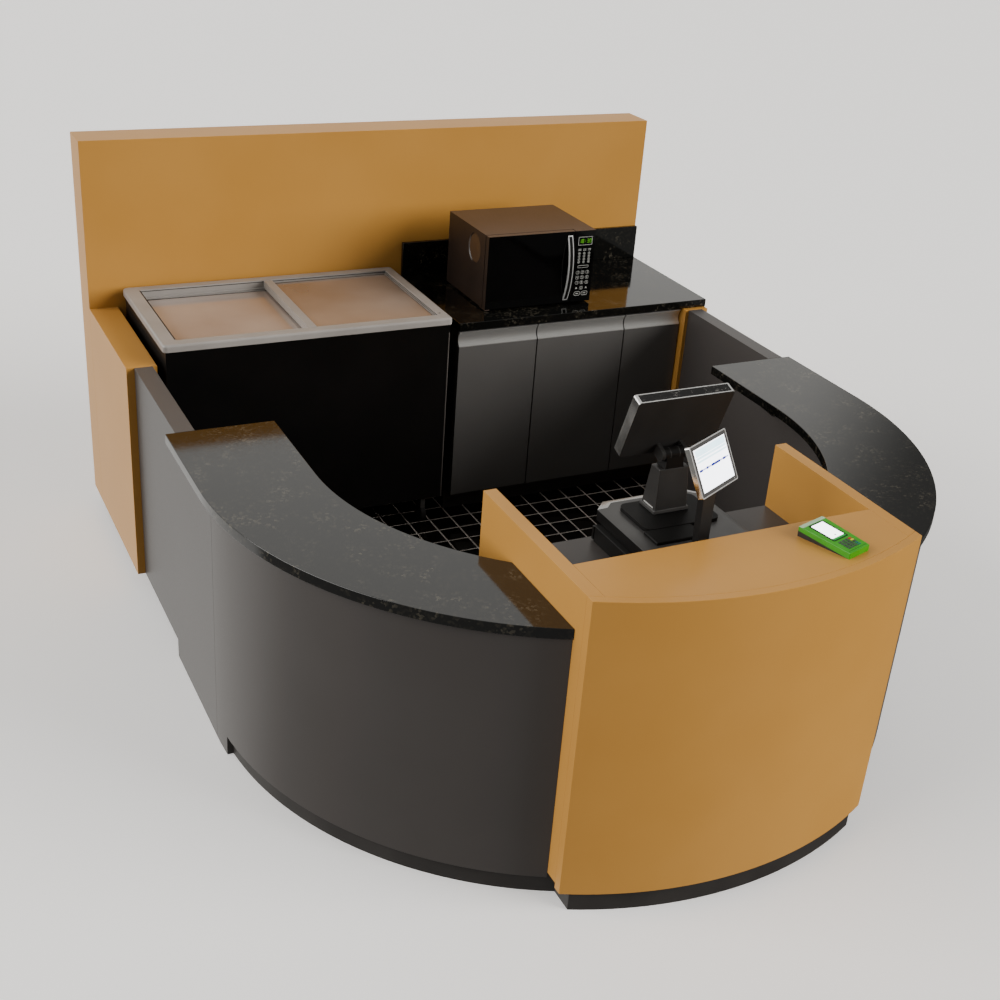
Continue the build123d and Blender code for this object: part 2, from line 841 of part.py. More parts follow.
# ---- card reader, lying on the ledge ----
with BuildPart() as reader_flat:
    with BuildSketch(Plane.YZ.offset(-reader_head_w / 2)):
        with BuildLine():
            Polyline(
                (-reader_l / 2, 0),
                (reader_l / 2, 0),
                (reader_l / 2, reader_head_h),
                (reader_l / 2 - reader_head_l, reader_head_h),
                (-reader_l / 2, reader_tail_h),
                close=True,
            )
        make_face()
    extrude(amount=reader_head_w)
    with BuildSketch():
        with BuildLine():
            Polyline(
                (-reader_head_w / 2, reader_l / 2),
                (reader_head_w / 2, reader_l / 2),
                (reader_tail_w / 2, -reader_l / 2),
                (-reader_tail_w / 2, -reader_l / 2),
                close=True,
            )
        make_face()
    extrude(amount=reader_head_h, mode=Mode.INTERSECT)
    fillet(reader_flat.edges().filter_by(Axis.Z), radius=reader_shell_t)
with BuildPart() as reader:
    add(
        reader_flat.part.rotate(Axis.Z, reader_turn)
        .moved(Location((till_x + reader_off, at(ledge_start + reader_in), ledge_top)))
    )
save(reader.part, "card_reader")
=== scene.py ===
"""Street kiosk with an ochre back wall, grey curved walls, granite tops and its equipment.

Lengths are in metres. +Z is up and customers stand at -Y.
"""

import json
import logging
import math
from collections.abc import Callable, Iterable, Sequence
from dataclasses import dataclass
from enum import Enum, IntEnum

import bmesh
import bpy
from mathutils import Matrix, Vector


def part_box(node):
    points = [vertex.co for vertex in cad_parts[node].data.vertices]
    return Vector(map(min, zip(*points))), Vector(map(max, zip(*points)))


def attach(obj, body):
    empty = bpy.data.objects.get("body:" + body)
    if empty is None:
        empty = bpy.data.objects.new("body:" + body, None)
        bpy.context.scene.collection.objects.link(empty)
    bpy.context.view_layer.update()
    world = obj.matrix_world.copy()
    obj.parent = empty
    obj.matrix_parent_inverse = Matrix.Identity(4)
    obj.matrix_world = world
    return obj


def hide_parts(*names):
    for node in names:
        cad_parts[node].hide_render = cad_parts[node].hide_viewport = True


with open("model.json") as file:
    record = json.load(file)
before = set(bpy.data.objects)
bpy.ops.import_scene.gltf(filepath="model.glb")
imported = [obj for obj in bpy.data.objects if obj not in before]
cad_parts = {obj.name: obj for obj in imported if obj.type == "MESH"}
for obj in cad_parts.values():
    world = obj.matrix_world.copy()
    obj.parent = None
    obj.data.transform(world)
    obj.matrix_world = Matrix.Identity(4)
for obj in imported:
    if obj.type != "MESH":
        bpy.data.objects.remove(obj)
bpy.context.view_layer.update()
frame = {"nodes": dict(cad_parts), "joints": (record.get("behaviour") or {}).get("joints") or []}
log = logging.getLogger("kiosk")

Triple = Sequence[float]
Socket = bpy.types.NodeSocket

SHARP = math.radians(32)  # edges that turn by more are eased, or left crisp
FLAT = math.radians(0.5)  # faces of a solid that turn by less are one face
MERGE = 2e-5  # corners of a solid that are closer are one corner
SINK = 0.001  # how far a flat part reaches into what carries it
CLOSE = 0.001  # a face that is nearer to a plane lies on it
TILE_PITCH = 0.108


class Body(str, Enum):
    """What a piece moves with."""

    KIOSK = "kiosk"
    LEFT_DOOR = "door_1"
    MIDDLE_DOOR = "door_2"
    RIGHT_DOOR = "door_3"
    LEFT_LID = "lid_left"
    RIGHT_LID = "lid_right"
    OVEN_DOOR = "oven_door"
    DRAWER = "cash_drawer"
    STAFF_SCREEN = "staff_screen"
    CUSTOMER_SCREEN = "customer_screen"


class Slot(str, Enum):
    """Place in the kiosk's list of materials."""

    OCHRE = "ochre_laminate"
    GREY = "grey_laminate"
    PLINTH = "plinth_board"
    PLATFORM = "platform_board"
    TILE = "floor_tile"
    STONE = "polished_granite"
    BRACKET = "bracket_steel"
    CARCASS = "cabinet_board"
    DOOR = "cabinet_door_board"
    PULL = "handle_aluminium"
    CHEST = "freezer_steel"
    RIM = "freezer_rim_plastic"
    PANE = "lid_glass"
    CASTOR = "castor_rubber"
    ENAMEL = "oven_enamel"
    OVEN_GLASS = "oven_glass"
    CHROME = "oven_chrome"
    TILL = "till_plastic"
    TILL_METAL = "till_metal"
    SCREEN = "display_screen"
    READER = "reader_plastic"


class Axis(IntEnum):
    """Direction of a row of edges."""

    X = 0
    Y = 1
    Z = 2


class Cut(Enum):
    """What a cut leaves of a shape."""

    INSIDE = "INTERSECT"
    OUTSIDE = "DIFFERENCE"


def linear(colour: str) -> tuple[float, float, float, float]:
    """Turn a colour to the linear values that a shader takes.

    Args:
        colour: sRGB hex digits, such as "B08446".

    Returns:
        Linear red, green, blue and an alpha of 1.
    """
    parts = [int(colour[i : i + 2], 16) / 255 for i in (0, 2, 4)]
    red, green, blue = (c / 12.92 if c <= 0.04045 else ((c + 0.055) / 1.055) ** 2.4 for c in parts)
    return red, green, blue, 1.0


def add_node(
    tree: bpy.types.NodeTree,
    kind: str,
    inputs: dict[str | int, object] | None = None,
    stops: Iterable[tuple[float, str]] = (),
    **settings: object,
) -> bpy.types.Node:
    """Add a shader node with its settings, values and links.

    Args:
        tree: Node tree of the material.
        kind: Blender's name of the node, without its ShaderNode prefix.
        inputs: Value, or socket to link, for each input by name or number.
        stops: Places and sRGB hex colours of a colour ramp.
        **settings: Properties of the node.

    Returns:
        The new node.
    """
    node = tree.nodes.new("ShaderNode" + kind)
    for key, value in settings.items():
        setattr(node, key, value)
    for key, value in (inputs or {}).items():
        if isinstance(value, Socket):
            tree.links.new(value, node.inputs[key])
        else:
            node.inputs[key].default_value = value
    for number, (place, colour) in enumerate(stops):
        ramp = node.color_ramp.elements
        stop = ramp[number] if number < 2 else ramp.new(place)
        stop.position = place
        stop.color = linear(colour)
    return node


# ---- finishes ----


@dataclass(frozen=True)
class Finish:
    """A surface of the kiosk, under the name of its real material."""

    name: str

    def dress(self, tree: bpy.types.NodeTree, shader: bpy.types.Node, place: Socket) -> None:
        """Set and link the shader. Each kind of finish has its own.

        Args:
            tree: Node tree of the material.
            shader: Its principled shader.
            place: Where on the kiosk a point lies, in metres.
        """
        raise NotImplementedError

    def material(self) -> bpy.types.Material:
        """Give the material of this finish, made the first time it is asked for."""
        made = bpy.data.materials.get(self.name)
        if made is None:
            made = bpy.data.materials.new(self.name)
            made.use_nodes = True
            tree = made.node_tree
            place = add_node(tree, "TexCoord").outputs["Object"]
            self.dress(tree, tree.nodes["Principled BSDF"], place)
        return made


@dataclass(frozen=True)
class Coating(Finish):
    """A moulded, painted, pressed or rolled surface with soft patches and a fine grain."""

    light: str
    dark: str
    roughness: tuple[float, float] = (0.35, 0.45)
    patch_mm: float = 300
    grain_mm: float = 1.5
    grain_depth_mm: float = 0.02
    metallic: float = 0.0
    ior: float = 1.5
    sheen: float = 0.0

    def dress(self, tree: bpy.types.NodeTree, shader: bpy.types.Node, place: Socket) -> None:
        """Patches drive colour and roughness, and the grain a shallow bump."""
        patch = {"Vector": place, "Scale": 1000 / self.patch_mm, "Detail": 4.0}
        patches = add_node(tree, "TexNoise", patch).outputs[0]
        stops = [(0.35, self.dark), (0.65, self.light)]
        colour = add_node(tree, "ValToRGB", {0: patches}, stops).outputs[0]
        tree.links.new(colour, shader.inputs["Base Color"])
        grain = {"Vector": place, "Scale": 1000 / self.grain_mm, "Detail": 2.0}
        grains = add_node(tree, "TexNoise", grain).outputs[0]
        low, high = self.roughness
        span = {"Value": grains, "From Min": 0.3, "From Max": 0.7, "To Min": low, "To Max": high}
        rough = add_node(tree, "MapRange", span).outputs[0]
        tree.links.new(rough, shader.inputs["Roughness"])
        depth = {"Height": grains, "Strength": 0.4, "Distance": self.grain_depth_mm / 1000}
        bump = add_node(tree, "Bump", depth).outputs[0]
        tree.links.new(bump, shader.inputs["Normal"])
        shader.inputs["Metallic"].default_value = self.metallic
        if not self.metallic:
            shader.inputs["IOR"].default_value = self.ior
        shader.inputs["Sheen Weight"].default_value = self.sheen


@dataclass(frozen=True)
class Granite(Finish):
    """Polished stone: a nearly black ground with crystals in drifts under a mirror surface."""

    ground: str = "080807"
    crystal: str = "1C1A15"
    spark: str = "3E3A31"
    crystal_mm: float = 9
    drift_mm: float = 110
    roughness: float = 0.06

    def dress(self, tree: bpy.types.NodeTree, shader: bpy.types.Node, place: Socket) -> None:
        """Broken cells are crystals, and slow noise gathers them in drifts."""
        stir = {"Vector": place, "Scale": 1000 / self.drift_mm, "Detail": 3.0, "Roughness": 0.6}
        drift = add_node(tree, "TexNoise", stir).outputs[0]
        cell = {"Vector": place, "Scale": 1000 / self.crystal_mm, "Randomness": 1.0}
        cells = add_node(tree, "TexVoronoi", cell).outputs
        shade = add_node(tree, "SeparateColor", {0: cells["Color"]}).outputs
        lift = {0: drift, 1: shade[0]}
        mixed = add_node(tree, "Math", lift, operation="MULTIPLY").outputs[0]
        stops = [(0.34, self.ground), (0.47, self.crystal), (0.60, self.spark)]
        colour = add_node(tree, "ValToRGB", {0: mixed}, stops).outputs[0]
        tree.links.new(colour, shader.inputs["Base Color"])
        span = {"Value": shade[1], "To Min": self.roughness, "To Max": self.roughness * 1.6}
        rough = add_node(tree, "MapRange", span).outputs[0]
        tree.links.new(rough, shader.inputs["Roughness"])
        shader.inputs["IOR"].default_value = 1.56


@dataclass(frozen=True)
class Drawn(Finish):
    """Drawn or brushed metal with fine lines along one axis of the kiosk."""

    metal: str
    shade: str
    roughness: tuple[float, float]
    line_mm: float = 0.8
    along: Triple = (0.02, 1, 1)
    metallic: float = 0.85

    def dress(self, tree: bpy.types.NodeTree, shader: bpy.types.Node, place: Socket) -> None:
        """Noise stretched along the lines drives colour, roughness and bump."""
        drawn = add_node(tree, "Mapping", {"Vector": place, "Scale": self.along}).outputs[0]
        line = {"Vector": drawn, "Scale": 1000 / self.line_mm, "Detail": 3.0}
        lines = add_node(tree, "TexNoise", line).outputs[0]
        stops = [(0.3, self.shade), (0.7, self.metal)]
        colour = add_node(tree, "ValToRGB", {0: lines}, stops).outputs[0]
        tree.links.new(colour, shader.inputs["Base Color"])
        low, high = self.roughness
        span = {"Value": lines, "From Min": 0.3, "From Max": 0.7, "To Min": low, "To Max": high}
        rough = add_node(tree, "MapRange", span).outputs[0]
        tree.links.new(rough, shader.inputs["Roughness"])
        bump = {"Height": lines, "Strength": 0.15, "Distance": 0.00005}
        tree.links.new(add_node(tree, "Bump", bump).outputs[0], shader.inputs["Normal"])
        shader.inputs["Metallic"].default_value = self.metallic


@dataclass(frozen=True)
class Glazed(Finish):
    """Ceramic fired in a glaze that pools in slow waves, with shades a tile wide."""

    light: str = "17130F"
    dark: str = "0A0908"
    wave_mm: float = 70
    roughness: float = 0.1

    def dress(self, tree: bpy.types.NodeTree, shader: bpy.types.Node, place: Socket) -> None:
        """White noise on squares as wide as a tile shades it, and slow noise waves it."""
        squares = {0: place, 1: (TILE_PITCH,) * 3}
        square = add_node(tree, "VectorMath", squares, operation="SNAP").outputs[0]
        tint = add_node(tree, "TexWhiteNoise", {"Vector": square}).outputs[0]
        colour = add_node(tree, "ValToRGB", {0: tint}, [(0.0, self.dark), (1.0, self.light)])
        tree.links.new(colour.outputs[0], shader.inputs["Base Color"])
        wave = {"Vector": place, "Scale": 1000 / self.wave_mm, "Detail": 2.0}
        waves = add_node(tree, "TexNoise", wave).outputs[0]
        bump = {"Height": waves, "Strength": 0.25, "Distance": 0.0006}
        tree.links.new(add_node(tree, "Bump", bump).outputs[0], shader.inputs["Normal"])
        span = {"Value": waves, "To Min": self.roughness * 0.7, "To Max": self.roughness * 1.5}
        rough = add_node(tree, "MapRange", span).outputs[0]
        tree.links.new(rough, shader.inputs["Roughness"])
        shader.inputs["IOR"].default_value = 1.55


@dataclass(frozen=True)
class Lit(Finish):
    """A lit panel that glows evenly, a little stronger in slow patches."""

    glow: str
    rim: str
    strength: float = 1.0
    patch_mm: float = 60

    def dress(self, tree: bpy.types.NodeTree, shader: bpy.types.Node, place: Socket) -> None:
        """The glow has its patches, under plain black glass."""
        patch = {"Vector": place, "Scale": 1000 / self.patch_mm, "Detail": 1.0}
        patches = add_node(tree, "TexNoise", patch).outputs[0]
        stops = [(0.35, self.rim), (0.65, self.glow)]
        colour = add_node(tree, "ValToRGB", {0: patches}, stops).outputs[0]
        tree.links.new(colour, shader.inputs["Emission Color"])
        shader.inputs["Emission Strength"].default_value = self.strength
        shader.inputs["Base Color"].default_value = linear("050505")
        shader.inputs["Roughness"].default_value = 0.15


# High-pressure laminate on board: satin, evenly coloured, pale where seen along the surface.
OCHRE_LAMINATE = Coating(
    "pressed_laminate_ochre", "B8853F", "B3803A", (0.38, 0.46), 500, 2.0, 0.015, ior=1.42
)
GREY_LAMINATE = Coating(
    "pressed_laminate_grey", "423E3C", "3F3B39", (0.38, 0.46), 500, 2.0, 0.015, sheen=0.03
)
DOOR_LAMINATE = Coating(
    "pressed_laminate_graphite", "555351", "514F4D", (0.34, 0.42), 400, 2.0, 0.015
)
# Film-faced board: dull and dark, a little uneven.
BASE_BOARD = Coating("film_faced_board", "312E2C", "282523", (0.5, 0.6), 180, 3.0, 0.04)
CABINET_BOARD = Coating("melamine_board", "3A3734", "322F2C", (0.45, 0.55), 250, 2.0, 0.02)
# Rolled and painted steel: slightly wavy under a thin skin of paint.
BRACKET_STEEL = Coating("painted_steel_grey", "5A5856", "4C4A48", (0.4, 0.5), 120, 2.5, 0.03)
# The pale taupe strip down the freezer's right front corner is a painted highlight on that edge.
EDGE_HIGHLIGHT_PAINT = Coating("painted_highlight_taupe", "5E5955", "544F4B", (0.3, 0.4), 120, 2.5, 0.02)
FREEZER_STEEL = Coating("painted_steel_black", "0E0D0D", "090909", (0.28, 0.36), 350, 2.0, 0.02)
# Zinc-plated steel: a dark, soft gleam in small patches.
SCREW_STEEL = Coating(
    "zinc_plated_steel", "4A4846", "3C3A38", (0.3, 0.4), 8, 0.8, 0.01, metallic=0.9
)
# Cement grout: pale brown-grey and sandy.
GROUT = Coating("cement_grout", "C4BCB4", "A89F97", (0.8, 0.9), 25, 1.2, 0.3)
# Glazed ceramic and polished stone: black, and sharp mirrors of what stands on them.
TILE = Glazed("glazed_ceramic_black")
GRANITE = Granite("polished_granite_black")
# Extruded and anodised: brushed lines run along the profile, and its cut lip is brighter.
PULL_ALUMINIUM = Drawn("anodised_aluminium_brushed", "E6E5E2", "D6D5D1", (0.42, 0.55))
LIP_ALUMINIUM = Drawn("milled_aluminium_bright", "E8E7E4", "DAD9D6", (0.35, 0.45))
# Chrome plate: a clear mirror with faint smears, or satin; a darker copy in broad dark patches is
# painted dark reflection.
CHROME = Coating(
    "polished_chrome", "D8D8D6", "CFCFCC", (0.06, 0.12), 60, 4.0, 0.002, metallic=1.0
)
SATIN_CHROME = Coating(
    "satin_chrome", "E6E6E4", "DADAD8", (0.26, 0.34), 60, 4.0, 0.002, metallic=0.6
)
CHROME_PAINTED_DARK_REFLECTION = Coating(
    "chrome_painted_dark_reflection", "B6B6B4", "5C5C5A", (0.2, 0.28), 150, 1.0, 0.002, metallic=0.75
)
# Metallic paint: an even silver with a fine sparkle.
SILVER_PAINT = Coating(
    "metallic_paint_silver", "B4B4B2", "A6A6A4", (0.25, 0.33), 80, 0.8, 0.01, metallic=0.8
)
# Low-emission glass: a peach mirror film over the dark inside.
LID_GLASS = Coating(
    "coated_glass_peach", "C4BAB3", "AE9F94", (0.06, 0.1), 700, 30.0, 0.01, metallic=0.45
)
# The right lid's pane: the same glass with a darker, more amber tint, a painted reflection.
PAINTED_REFLECTION_GLASS = Coating(
    "coated_glass_painted_reflection", "BAADA3", "9B8A7B", (0.06, 0.1), 700, 30.0, 0.01, metallic=0.56
)
# Toughened glass, black behind: a sharp mirror with faint smears.
BLACK_GLASS = Coating("toughened_glass_black", "040404", "030303", (0.04, 0.09), 90, 25.0, 0.002)
# Enamel fired on the back of glass: an even grey under a clear gloss.
FIRED_GREY = Coating("fired_glass_border_grey", "4E4D4C", "464544", (0.1, 0.2), 60, 1.0, 0.005)
# ABS mouldings: an even satin with a spark-eroded grain.
RIM_ABS = Coating("moulded_abs_pale_grey", "948F8A", "8A8580", (0.3, 0.4), 200, 1.2, 0.02)
BLACK_ABS = Coating("moulded_abs_black", "0F0E0D", "0C0B0B", (0.4, 0.5), 90, 1.0, 0.03, ior=1.4)
BACK_ABS = Coating("moulded_abs_soot", "242322", "201F1E", (0.5, 0.6), 90, 1.0, 0.03)
GRAPHITE_ABS = Coating("moulded_abs_graphite", "3C3B3A", "363534", (0.34, 0.42), 90, 1.0, 0.03)
# Slate plastic of the till's neck; on the display post's customers' side it is painted light.
NECK_ABS_AND_POST_LIGHT = Coating("moulded_abs_slate_and_painted_light", "2C2B2A", "282726", (0.36, 0.44), 90, 1.0, 0.03)
GREEN_ABS = Coating("moulded_abs_green", "349612", "2F8C10", (0.25, 0.35), 40, 0.8, 0.01)
MINT_ABS = Coating("moulded_abs_mint", "A9C9A2", "9DBF96", (0.25, 0.35), 40, 0.8, 0.01)
WEDGE_ABS = Coating("moulded_abs_umber", "1E1916", "191512", (0.35, 0.45), 40, 0.8, 0.01)
KEY_ABS = Coating("moulded_abs_key_grey", "3E4A3E", "364136", (0.4, 0.5), 20, 0.8, 0.01)
RED_ABS = Coating("moulded_abs_key_red", "A8321E", "982B1A", (0.4, 0.5), 20, 0.8, 0.01)
YELLOW_ABS = Coating("moulded_abs_key_yellow", "C8B23A", "BBA534", (0.4, 0.5), 20, 0.8, 0.01)
TEAL_ABS = Coating("moulded_abs_key_teal", "1F6B5A", "1A5F50", (0.4, 0.5), 20, 0.8, 0.01)
# Rubber, moulded or extruded: dull and nearly black.
# Black rubber of the stand's pad; the black block in front of the pad uses it too, as painted
# shadow.
PAD_RUBBER_AND_SHADOW = Coating(
    "moulded_rubber_black_and_painted_shadow", "0A0909", "080807", (0.55, 0.65), 60, 1.0, 0.03, ior=1.33
)
WHEEL_RUBBER = Coating("moulded_rubber_grey", "2B2A2A", "222121", (0.6, 0.75), 40, 1.5, 0.05)
# Dark seals round the panes and in the rim; the dark strip on the rim's top beside the left lid
# uses it too, as painted shadow.
SEAL_RUBBER_AND_SHADOW = Coating("extruded_rubber_seal_and_painted_shadow", "23201D", "1C1917", (0.6, 0.7), 60, 1.0, 0.03)
# Stove enamel on pressed steel: satin brown with an orange-peel skin.
OVEN_ENAMEL = Coating("stoved_enamel_brown", "443833", "3E332E", (0.30, 0.38), 200, 3.5, 0.03)
# The case's sides and the door's left edge: a darker copy of the top's enamel, painted shade.
SHADED_SIDE_ENAMEL = Coating("stoved_enamel_painted_shade", "241B16", "1E1612", (0.34, 0.42), 200, 3.5, 0.03)
# The floor of the pressed grip: a lighter tan copy of the same enamel, painted highlight.
GRIP_PAINTED_HIGHLIGHT = Coating("stoved_enamel_painted_highlight", "42301F", "3A2A1C", (0.34, 0.42), 80, 3.5, 0.03)
CAVITY_ENAMEL = Coating("stoved_enamel_grey", "8E8B86", "827F7A", (0.3, 0.4), 120, 3.0, 0.03)
# Lacquer over fine metal flakes: black with small pale points.
FLAKE_LACQUER = Granite("flake_lacquer_black", "0A0A0A", "242322", "6A6864", 3, 30, 0.12)
# Screen-printed ink on glass: flat and pale.
PRINT_INK = Coating("screen_printed_ink", "B4B4AF", "A4A49F", (0.5, 0.6), 10, 0.6, 0.01)
# Lit digits and lit liquid crystal: a clean, even glow.
CLOCK_LED = Lit("led_digits_green", "6CC42C", "5AA820", 0.9, 20)
DISPLAY_WHITE = Lit("backlit_lcd_white", "F6F6FA", "ECEFF6", 6.0, 120)
DISPLAY_TINT = Lit("backlit_lcd_pale_cyan", "CFE9F2", "BFE0EC", 4.5, 60)
DISPLAY_BLUE = Lit("backlit_lcd_blue", "2B33A8", "363FB4", 1.2, 15)
DISPLAY_LILAC = Lit("backlit_lcd_lilac", "9A9EDC", "A4A8E0", 3.0, 15)
DISPLAY_GREEN = Lit("backlit_lcd_green", "23C24A", "1DAE40", 0.9, 15)


# ---- shapes ----


@dataclass(frozen=True)
class Extent:
    """Lowest and highest corners of one of the kiosk's solids at rest."""

    low: Vector
    high: Vector

    @classmethod
    def of(cls, node: str) -> "Extent":
        """Take the corners of a solid by its name."""
        low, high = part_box(node)
        return cls(Vector(low), Vector(high))

    @property
    def middle(self) -> Vector:
        """Point half way between the corners."""
        return (self.low + self.high) / 2


def hinge(joint: str) -> Vector:
    """Point on the axis of a joint, by its name."""
    return Vector(next(j["pos_m"] for j in frame["joints"] if j["name"] == joint))


class Shape:
    """A mesh in the making. Solids are put at its spot, each in one of its finishes."""

    def __init__(self, spot: Matrix | None = None) -> None:
        """Start empty.

        Args:
            spot: Place and turn of what is added.
        """
        self.mesh = bmesh.new()
        self.spot = spot or Matrix.Identity(4)

    def join(self, part: bmesh.types.BMesh, finish: int, spot: Matrix | None = None) -> None:
        """Move a part to its spot, give it its finish and add it."""
        for face in part.faces:
            face.material_index = finish
        bmesh.ops.transform(part, matrix=self.spot if spot is None else spot, verts=part.verts)
        carrier = bpy.data.meshes.new("carrier")
        part.to_mesh(carrier)
        part.free()
        self.mesh.from_mesh(carrier)
        bpy.data.meshes.remove(carrier)

    def box(
        self,
        low: Triple,
        high: Triple,
        rounding: float = 0.0,
        along: Axis | None = None,
        finish: int = 0,
        border: float = 0.0,
    ) -> "Shape":
        """Add a box.

        Args:
            low: Lowest corner.
            high: Highest corner.
            rounding: Radius of its rounded edges.
            along: Axis that the rounded edges follow, or None for all edges.
            finish: Number of its finish.
            border: Width of the border left when it is opened through, or 0 to leave it whole.

        Returns:
            This shape.
        """
        part = self.block(low, high)
        if rounding:
            edges = [
                e
                for e in part.edges
                if along is None or abs((e.verts[0].co - e.verts[1].co).normalized()[along]) > 0.9
            ]
            self.round_edges(part, edges, rounding)
        if border:
            self.open_through(part, border, along)
        self.join(part, finish)
        return self

    @staticmethod
    def block(low: Triple, high: Triple) -> bmesh.types.BMesh:
        """Make a plain block between its lowest and highest corners."""
        part = bmesh.new()
        bmesh.ops.create_cube(part, size=1.0)
        low, high = Vector(low), Vector(high)
        bmesh.ops.scale(part, vec=high - low, verts=part.verts)
        bmesh.ops.translate(part, vec=(low + high) / 2, verts=part.verts)
        return part

    @staticmethod
    def part_along(
        part: bmesh.types.BMesh,
        point: Triple,
        normal: Triple,
        snap: float = 0.0,
        drop: bool = False,
    ) -> None:
        """Part a mesh along a plane.

        Args:
            part: Mesh.
            point: Point of the plane.
            normal: Normal of the plane.
            snap: Distance within which a corner counts as on the plane.
            drop: Whether what lies before the plane is dropped and the opening closed.
        """
        geom = [*part.verts, *part.edges, *part.faces]
        cut = bmesh.ops.bisect_plane(
            part, geom=geom, dist=snap, plane_co=point, plane_no=normal, clear_outer=drop
        )
        if drop:
            edges = [e for e in cut["geom_cut"] if isinstance(e, bmesh.types.BMEdge)]
            bmesh.ops.holes_fill(part, edges=edges)

    @staticmethod
    def open_through(part: bmesh.types.BMesh, border: float, along: Axis) -> None:
        """Open a part through along an axis, so that only its border stays."""
        ends = [f for f in part.faces if abs(f.normal[along]) > 0.99]
        bmesh.ops.inset_individual(part, faces=ends, thickness=border, use_even_offset=True)
        rims = [e for f in ends for e in f.edges]
        bmesh.ops.delete(part, geom=ends, context="FACES_ONLY")
        bmesh.ops.bridge_loops(part, edges=rims)
        bmesh.ops.recalc_face_normals(part, faces=part.faces)

    @staticmethod
    def round_edges(part: bmesh.types.BMesh, edges: list, radius: float, steps: int = 3) -> None:
        """Round some edges of a part in a few steps."""
        bmesh.ops.bevel(
            part,
            geom=edges,
            offset=radius,
            offset_type="OFFSET",
            segments=steps,
            profile=0.5,
            affect="EDGES",
            material=-1,
            clamp_overlap=True,
        )

    def rod(
        self,
        start: Triple,
        end: Triple,
        radius: float,
        end_radius: float | None = None,
        rounding: float = 0.0,
        finish: int = 0,
        sides: int = 40,
        border: float = 0.0,
    ) -> "Shape":
        """Add a round bar, disc or cone.

        Args:
            start: Middle of its first end.
            end: Middle of its other end.
            radius: Radius at its first end.
            end_radius: Radius at its other end, or None for the same.
            rounding: Radius of its rounded rims.
            finish: Number of its finish.
            sides: Facets round it.
            border: Width of the ring left when it is opened through, or 0 to leave it whole.

        Returns:
            This shape.
        """
        start, end = Vector(start), Vector(end)
        part = bmesh.new()
        bmesh.ops.create_cone(
            part,
            cap_ends=True,
            cap_tris=False,
            segments=sides,
            radius1=radius,
            radius2=radius if end_radius is None else end_radius,
            depth=(end - start).length,
        )
        if rounding:
            rims = [e for e in part.edges if any(len(f.verts) > 4 for f in e.link_faces)]
            self.round_edges(part, rims, rounding)
        if border:
            self.open_through(part, border, Axis.Z)
        turn = (end - start).to_track_quat("Z", "Y").to_matrix().to_4x4()
        bmesh.ops.transform(
            part, matrix=Matrix.Translation((start + end) / 2) @ turn, verts=part.verts
        )
        self.join(part, finish)
        return self

    def pillar(
        self, low: Triple, high: Triple, top: Triple, lean: float, rounding: float, finish: int
    ) -> "Shape":
        """Add a box that narrows upwards.

        Args:
            low: Lowest corner of its foot.
            high: Highest corner of a box on that foot.
            top: Share of the foot's width and depth left at its top, and 1.
            lean: Shift of its top along Y.
            rounding: Radius of its rounded edges.
            finish: Number of its finish.

        Returns:
            This shape.
        """
        part = bmesh.new()
        bmesh.ops.create_cube(part, size=1.0)
        upper = [v for v in part.verts if v.co.z > 0]
        bmesh.ops.scale(part, vec=top, verts=upper)
        low, high = Vector(low), Vector(high)
        bmesh.ops.scale(part, vec=high - low, verts=part.verts)
        bmesh.ops.translate(part, vec=(low + high) / 2, verts=part.verts)
        bmesh.ops.translate(part, vec=(0, lean, 0), verts=upper)
        self.round_edges(part, part.edges[:], rounding)
        self.join(part, finish)
        return self

    def solid(
        self,
        node: str,
        finish: int = 0,
        choose: Callable[[bmesh.types.BMFace], int] | None = None,
        lines: Iterable[tuple[Triple, Triple]] = (),
    ) -> "Shape":
        """Add a merged copy of one of the kiosk's solids, where it stands.

        Args:
            node: Name of the solid.
            finish: Number of its finish.
            choose: Picks a finish for each face instead.
            lines: Point and normal of each plane that parts its faces for that choice.

        Returns:
            This shape.
        """
        part = bmesh.new()
        part.from_mesh(frame["nodes"][node].data)
        bmesh.ops.remove_doubles(part, verts=part.verts, dist=MERGE)
        bmesh.ops.dissolve_limit(part, angle_limit=FLAT, verts=part.verts, edges=part.edges)
        for point, normal in lines:
            self.part_along(part, point, normal, 1e-6)
        part.normal_update()
        picks = [choose(f) if choose else finish for f in part.faces]
        before = len(self.mesh.faces)
        self.join(part, finish, Matrix.Identity(4))
        self.mesh.faces.ensure_lookup_table()
        for number, pick in enumerate(picks):
            self.mesh.faces[before + number].material_index = pick
        return self

    def loose(self, name: str, finishes: Sequence[Finish]) -> bpy.types.Object:
        """Make a plain object of the mesh, for a cut.

        Args:
            name: Name of the object.
            finishes: Finishes by number.

        Returns:
            The object.
        """
        data = bpy.data.meshes.new(name)
        self.mesh.to_mesh(data)
        self.mesh.free()
        for finish in finishes:
            data.materials.append(finish.material())
        made = bpy.data.objects.new(name, data)
        bpy.context.scene.collection.objects.link(made)
        return made

    def carve(self, tool: "Shape", cut: Cut, finishes: Sequence[Finish]) -> "Shape":
        """Cut the mesh with another shape.

        Args:
            tool: Shape that cuts, with the finishes of the faces that it leaves.
            cut: What the cut leaves.
            finishes: Finishes of both shapes by number.

        Returns:
            This shape.
        """
        pair = [self.loose("cut_work", finishes), tool.loose("cut_tool", finishes)]
        trim = pair[0].modifiers.new("cut", "BOOLEAN")
        trim.operation = cut.value
        trim.solver = "EXACT"
        trim.object = pair[1]
        shown = pair[0].evaluated_get(bpy.context.evaluated_depsgraph_get())
        self.mesh = bmesh.new()
        self.mesh.from_mesh(shown.to_mesh())
        for each in pair:
            bpy.data.objects.remove(each)
        return self

